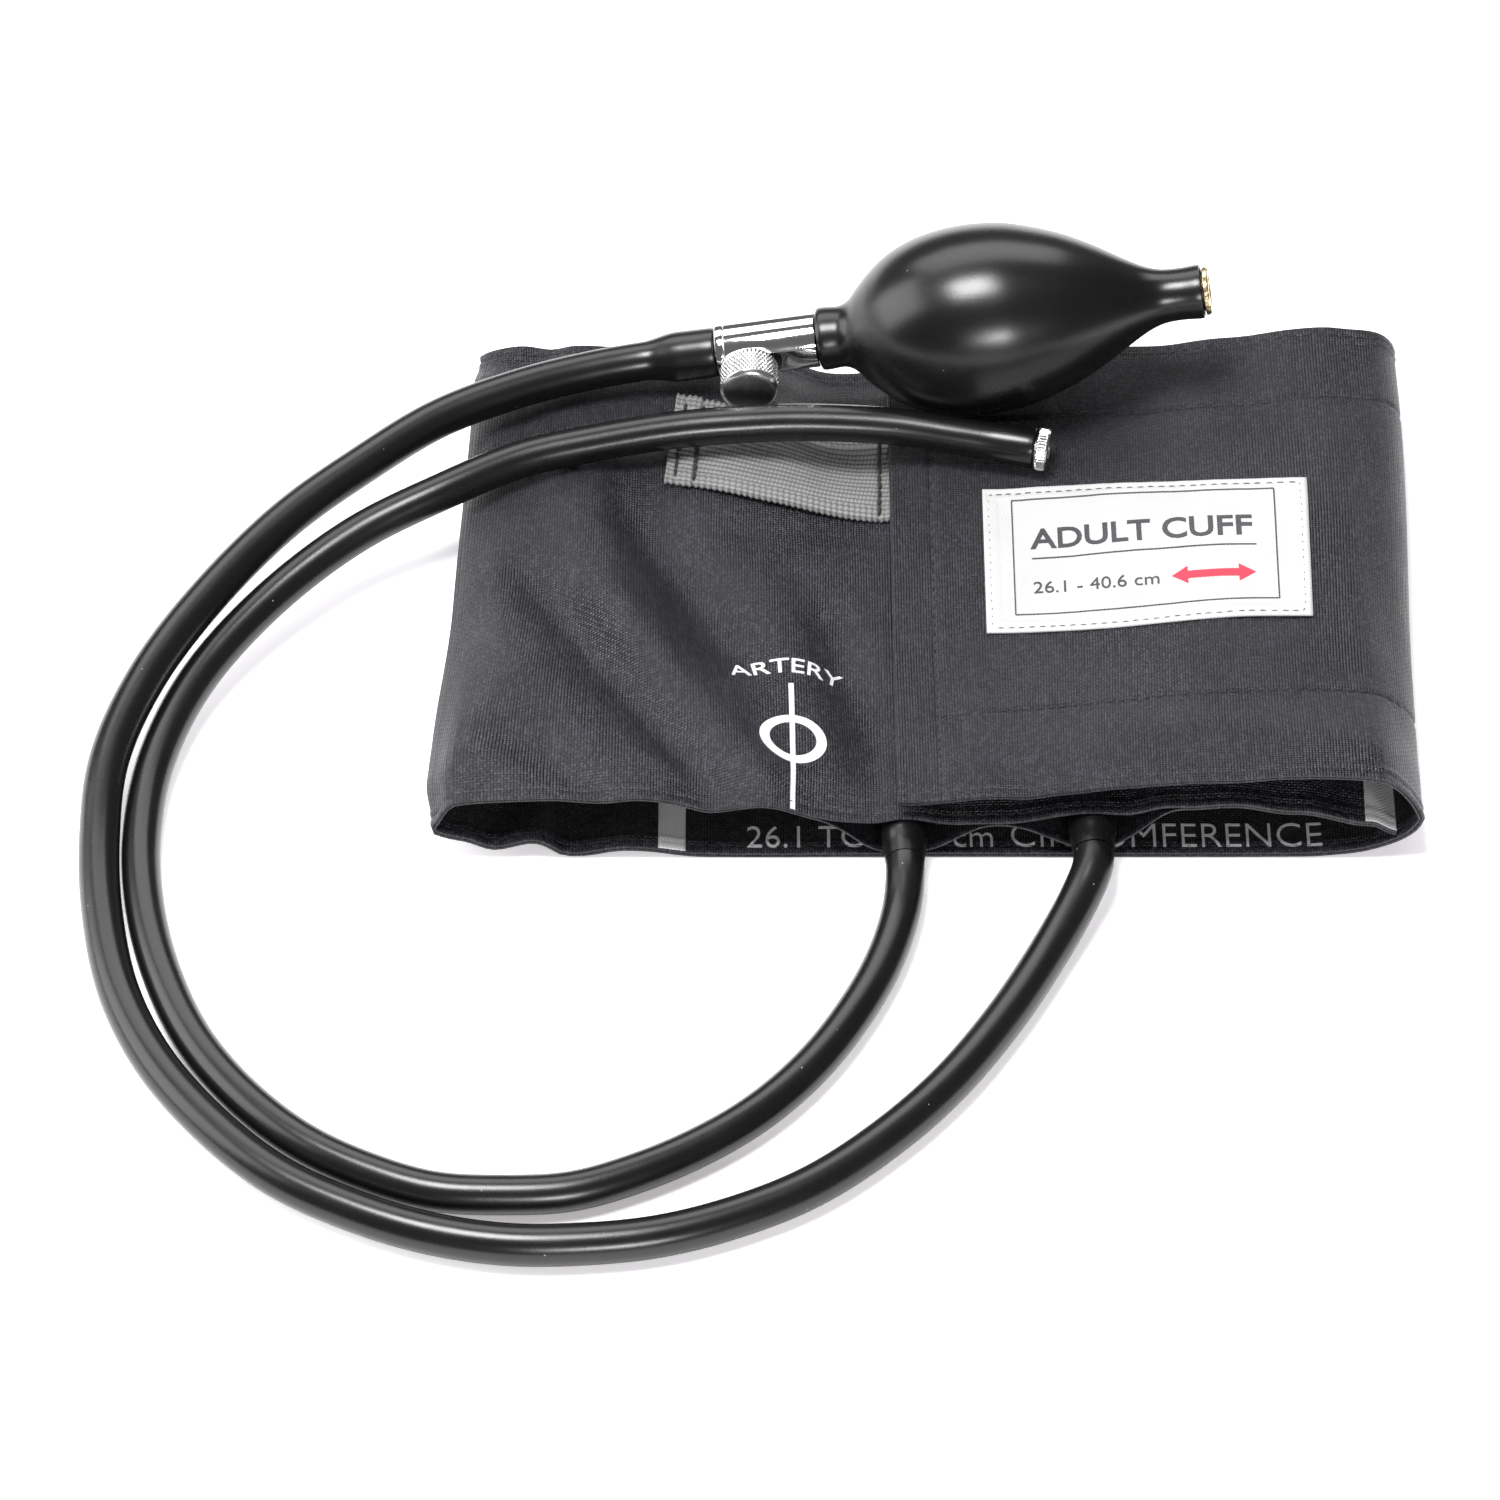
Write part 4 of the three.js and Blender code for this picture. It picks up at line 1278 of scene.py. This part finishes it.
# ---- necks of the bladder ----
def add_neck(name, port, hose_radius, node_name):
    """Moulded neck that swells where it leaves the hem and closes down onto the hose."""
    end, full = -port["end"], port["radius"] + 0.15
    inner, tip, bore = 60.4, end + 0.55, 2.2
    outside = [
        (inner, 3.0), (61.4, port["radius"] - 1.3), (64, port["radius"] - 0.2), (68, full),
        (end - 8, full + 0.1), (end - 5.5, full), (end - 3, full - 0.35), (end - 1, hose_radius + 0.2),
        (tip, hose_radius + 0.04),
    ]
    inside = [(tip, hose_radius - 0.3), (tip - 1, bore), (inner, bore)]
    profile = np.vstack([centripetal(outside, 0.4), inside])

    def place(points):
        return np.stack([port["x"] + points[:, 1], -points[:, 0], port["z"] + points[:, 2]], axis=-1)

    neck = turned(name, profile, place, HOSE_RUBBER, sides=48)
    return made_of(neck, "black_rubber", node_name)


# ---- inflator: every piece lies on the bulb's tilted axis ----
INFLATOR = np.array(Matrix.Rotation(math.radians(-BULB_TILT), 3, "Y"))


def on_axis(points):
    return points @ INFLATOR.T + BULB_CENTRE


def on_thumbscrew(points):
    """Pieces turned about the thumbscrew, measured outwards from the barrel's axis."""
    return on_axis(np.stack([NEEDLE_X + points[:, 1], -points[:, 0], points[:, 2]], axis=-1))


BULB_OUTLINE = [
    (-31.2, 7.05), (-30.0, 7.4), (-28.6, 8.3), (-26.7, 10.4), (-23.2, 13.9), (-18.6, 17.3), (-12.8, 19.9),
    (-5.8, 21.5), (0.5, 21.9), (8.1, 21.3), (15.1, 19.5), (22, 17.0), (29, 13.4), (36, 9.2), (39.4, 7.4),
    (42.2, 6.4), (44.5, 6.05),
]


def add_bulb():
    """Thick-walled squeeze bulb with a collar over the valve and a tail over the inlet valve."""
    mouth, tail = VALVE_RIGHT + 0.3, 52.2
    collar = [
        (mouth, 6.5), (mouth + 0.15, 6.95), (mouth + 0.6, 7.2), (mouth + 2, 7.22), (mouth + 3.8, 7.08),
    ]
    end = [(48, 6.0), (50.2, 6.15), (51.4, 6.2), (tail - 0.1, 6.05), (tail, 5.6)]
    outside = centripetal([*collar, *BULB_OUTLINE, *end], 0.7)
    chamber = [(x * 0.96, radius - BULB_WALL) for x, radius in BULB_OUTLINE[4:-4]]
    inside = [(tail, 4.7), (38, 4.7), *chamber[::-1], (-25, 5), (mouth, 5)]
    bulb = turned("squeeze_bulb", np.vstack([outside, inside]), on_axis, BULB_RUBBER, sides=128, sharp=50)
    made_of(bulb, "black_rubber", "bulb_shell")


def cut_away(obj, *tools):
    """Cuts each tool out of a piece, and leaves a plain mesh."""
    for tool in tools:
        modifier = obj.modifiers.new("cut", "BOOLEAN")
        modifier.operation, modifier.object, modifier.solver = "DIFFERENCE", tool, "EXACT"
    bpy.context.view_layer.update()
    evaluated = obj.evaluated_get(bpy.context.evaluated_depsgraph_get())
    mesh = bpy.data.meshes.new_from_object(evaluated)
    obj.modifiers.clear()
    obj.data = mesh
    for tool in tools:
        bpy.data.objects.remove(tool)


def cutter(start, end, radius):
    profile = [(start, 0), (start, radius), (end, radius), (end, 0)]
    return turned("cutter", profile, on_thumbscrew, CHROME, sides=48)


def add_valve():
    """Chrome barrel with its barbed spigot, bores and the side chamber for the needle."""
    tip, cage, face = VALVE_LEFT - 12, VALVE_RIGHT + 2.8, VALVE_RIGHT + 10.8
    r = VALVE_RADIUS
    profile = [
        (tip, 1.4), (tip, 2.6), (tip + 4, 3.4), (tip + 4.1, 2.8), (tip + 8, 3.4), (tip + 8.1, 2.8),
        (VALVE_LEFT, 2.8), (VALVE_LEFT, r), (VALVE_LEFT + 1.6, r), (VALVE_LEFT + 1.75, r - 0.14),
        (VALVE_LEFT + 2.0, r - 0.14), (VALVE_LEFT + 2.15, r), (VALVE_RIGHT, r), (VALVE_RIGHT, 4.7),
        (face, 4.5), (face, 3.3), (cage, 3.3), (cage, SEAT_RADIUS), (tip + 1, SEAT_RADIUS),
    ]
    barrel = turned("valve_barrel", fillet(profile, 0.35), on_axis, CHROME, sides=96, sharp=30)
    side_chamber, orifice = cutter(2.2, 8.2, 2.9), cutter(0, 3, 1.1)
    cut_away(barrel, side_chamber, orifice)
    made_of(barrel, "chrome", "valve_body")


KNURLS = 46
KNURL_DEPTH, KNURL_SLANT = 0.34, 32


def knurl(x, radius, angles):
    """Two crossing sets of grooves round the knob's rim."""
    slant = KNURLS / KNOB_RADIUS * math.tan(math.radians(KNURL_SLANT))
    grooves = []
    for side in (1, -1):
        phase = (KNURLS * angles + side * slant * (x - KNOB_BACK)) / (2 * math.pi)
        grooves.append(np.abs(2 * (phase % 1) - 1))
    on_rim = smooth((x - KNOB_BACK - 0.3) / 0.4) * smooth((KNOB_FRONT - 1.0 - x) / 0.4)
    return -KNURL_DEPTH * np.maximum(*grooves) * on_rim * (radius > KNOB_RADIUS - 0.2)


def add_knob():
    """Knurled drum with a polished, slightly dished face."""
    back, front, socket = KNOB_BACK, KNOB_FRONT, KNOB_BACK + KNOB_SOCKET
    r = KNOB_RADIUS
    rim = [(x, r) for x in even(back + 0.3, front - 0.95, 0.16)]
    face = [(front - 0.8, r - 0.05), (front - 0.05, r - 0.8), (front, r - 1.1)]
    dish = [(front - 0.04, r - 1.6), (front - 0.16, 2.2), (front - 0.2, 0)]
    inner = [(socket, 0), (socket, 1.8), (back, 1.8), (back, r - 0.4)]
    profile = [*rim, *face, *dish, *inner]
    sides = KNURLS * 8
    knob = turned("thumbscrew_knob", profile, on_thumbscrew, NICKEL, "thumbscrew", sides, knurl)
    made_of(knob, "nickel", "valve_knob")


def add_seal():
    """Rubber seal that travels with the stem."""
    outline = fillet([(2.8, 1.6), (2.65, 2.1), (2.8, 2.45), (3.1, 2.55), (3.34, 2.3), (3.34, 1.6)], 0.15)
    seal = turned("needle_seal", outline, on_thumbscrew, HOSE_RUBBER, "stem_slide", sides=48)
    made_of(seal, "black_rubber", "stem_seal")


CONNECTOR_GROOVES = 42


def on_connector(points):
    turn = np.array(Matrix.Rotation(math.radians(CONNECTOR_YAW), 3, "Z"))
    return points @ turn.T + gauge_line[-1] / MM


def add_connector():
    """Barbed tail, knurled flange and tapered socket, in the end of the gauge hose."""
    flange, near, far = 5.0, 0.3, 3.2
    tail = [
        (-11, 1.2), (-11, 2.2), (-7.5, 2.75), (-7.4, 2.3), (-3.6, 2.75), (-3.5, 2.3), (near, 2.3),
    ]
    rim = [(near, flange - 0.35), (near + 0.35, flange)]
    rim += [(x, flange) for x in even(near + 0.5, far - 0.5, 0.3)]
    rim += [(far - 0.35, flange), (far, flange - 0.35)]
    socket = [(far, 2.3), (far - 0.2, 2.1), (-2, 1.9), (-2, 1.2)]

    def relief(x, radius, angles):
        groove = 0.5 - 0.5 * np.cos(CONNECTOR_GROOVES * angles)
        return -0.3 * groove * ((x > near + 0.4) & (x < far - 0.4) & (radius > flange - 0.1))

    profile, sides = [*tail, *rim, *socket], 8 * CONNECTOR_GROOVES
    piece = turned("gauge_fitting", profile, on_connector, NICKEL, sides=sides, relief=relief)
    return made_of(piece, "nickel", "gauge_connector")


def add_inlet_valve():
    """Brass body with a notched rim, and the gauze disc inside its mouth."""
    inner, flange, mouth = 42, 52.5, 53.8
    profile = [
        (inner, 2.7), (inner, 4.3), (flange, 4.3), (flange, 5.6), (mouth - 0.3, 5.6), (mouth, 5.3),
        (mouth, 3.6), (flange + 0.1, 3.4), (flange + 0.1, SEAT_RADIUS), (INLET_SEAT, SEAT_RADIUS),
        (INLET_SEAT, 2.7),
    ]

    def notches(x, radius, angles):
        cut = smooth((np.cos(10 * angles) - 0.55) / 0.2)
        return -0.9 * cut * ((x > flange + 0.3) & (radius > 5.0))

    body = turned("inlet_valve", fillet(profile, 0.25), on_axis, BRASS, sides=160, relief=notches)
    made_of(body, "brass", "inlet_valve_body")
    gauze = new_piece("inlet_gauze", *gauze_wires(mouth - 0.75, 3.2, 0.62), BRASS)
    made_of(gauze, "brass", "inlet_filter")


def gauze_wires(x, radius, pitch, wire=0.1):
    """Two crossing sets of wires, each bent over and under the other set."""
    parts = []
    count = int(radius / pitch)
    for k in range(-count, count + 1):
        reach = math.sqrt(radius**2 - (k * pitch) ** 2)
        along = even(-reach, reach, pitch / 4)
        wave = wire * np.cos(math.pi * (along / pitch + k))
        for turn, side in ((False, 1), (True, -1)):
            across = np.full_like(along, k * pitch)
            y, z = (across, along) if turn else (along, across)
            line = np.stack([x + side * wave, y, z], axis=-1)
            run = unit(np.gradient(line, axis=0))
            flat = unit(np.cross(run, [1, 0, 0]))
            parts.append(tube(line, wire, flat, np.cross(flat, run), 6))
    points, faces = merge(parts)
    return on_axis(points), faces


def ball(seat_face):
    """Outline of a check ball, just off the rim of the seat hole whose face is there."""
    centre = seat_face - math.sqrt(BALL_RADIUS**2 - SEAT_RADIUS**2) - 0.08
    turns = np.linspace(0, math.pi, 25)
    return np.stack([centre - BALL_RADIUS * np.cos(turns), BALL_RADIUS * np.sin(turns)], axis=-1)


def ring(start, end, inner, outer):
    return fillet([(start, inner), (start, outer), (end, outer), (end, inner)], 0.12)


def add_small_parts():
    """The metal pieces inside the valves, as (name, CAD node, body, slot, outline, place)."""
    end = KNOB_BACK + KNOB_SOCKET - 0.3
    needle = fillet([(1.6, 0), (1.6, 0.35), (2.75, STEM_RADIUS), (end, STEM_RADIUS), (end, 0)], 0.1)
    looks = {"nickel": NICKEL, "brass": BRASS}
    parts = [
        ("valve_needle", "needle_stem", "thumbscrew", "nickel", needle, on_thumbscrew),
        ("needle_gland", "gland_bush", "cuff", "brass", ring(4.8, 6.2, 1.6, 2.6), on_thumbscrew),
        ("outlet_rim", "outlet_seat", "cuff", "brass", ring(OUTLET_SEAT, -26.3, SEAT_RADIUS, 3), on_axis),
        ("outlet_bearing", "outlet_ball", "outlet_check", "nickel", ball(OUTLET_SEAT), on_axis),
        ("inlet_bearing", "inlet_ball", "inlet_check", "nickel", ball(INLET_SEAT), on_axis),
        ("inlet_ring", "inlet_retainer", "cuff", "brass", ring(42.4, 43.4, 1, 2.4), on_axis),
    ]
    for name, stands_for, body, slot, outline, place in parts:
        made_of(turned(name, outline, place, looks[slot], body, sides=48), slot, stands_for)


trims = [add_seams(), *add_flat_pieces(), *add_strap(), *add_label(), add_artery_mark()]
lining_trims = [add_lining_print()]
add_neck("gauge_neck", GAUGE_PORT, GAUGE_HOSE_RADIUS, "gauge_port")
add_neck("bulb_neck", BULB_PORT, BULB_HOSE_RADIUS, "bulb_port")
add_bulb()
add_valve()
add_knob()
add_seal()
gauge_fitting = add_connector()
add_inlet_valve()
add_small_parts()


# ---- scene: floor and soft light ----
FLOOR_HALF, FLOOR_Z = 6.0, -0.0002
SKY_COLOUR, SKY_STRENGTH = (0.98, 0.96, 1.0, 1), 0.15
# Area lights that face the origin, as (name, place, width, height, power).
SOFTBOXES = [
    ("overhead", (-0.3, -0.1, 1.5), 0.52, 0.52, 28),
    ("left", (-1.5, 0.1, 0.8), 1.3, 1.3, 23),
    ("back", (-0.2, 1.4, 1.5), 2.2, 1.1, 26),
    ("front", (0.17, -1.45, 0.62), 0.42, 0.24, 11),
]


def add_floor():
    mesh = bpy.data.meshes.new("floor")
    corners = [(-1, -1), (1, -1), (1, 1), (-1, 1)]
    mesh.from_pydata([(x * FLOOR_HALF, y * FLOOR_HALF, 0) for x, y in corners], [], [(0, 1, 2, 3)])
    mesh.materials.append(floor_paper())
    floor = link("floor", mesh)
    floor.location.z = FLOOR_Z


def add_softbox(name, place, width, height, power):
    data = bpy.data.lights.new(name, "AREA")
    data.shape = "RECTANGLE"
    data.size, data.size_y = width, height
    data.energy = power
    light = link(name, data)
    light.location = place
    light.rotation_euler = (-Vector(place)).to_track_quat("-Z", "Y").to_euler()


def add_world():
    world = bpy.data.worlds.new("studio")
    world.use_nodes = True
    sky = world.node_tree.nodes["Background"]
    sky.inputs["Color"].default_value = SKY_COLOUR
    sky.inputs["Strength"].default_value = SKY_STRENGTH
    bpy.context.scene.world = world


def add_studio():
    add_floor()
    add_world()
    for softbox in SOFTBOXES:
        add_softbox(*softbox)
    bpy.context.scene.view_settings.view_transform = "Standard"


add_studio()
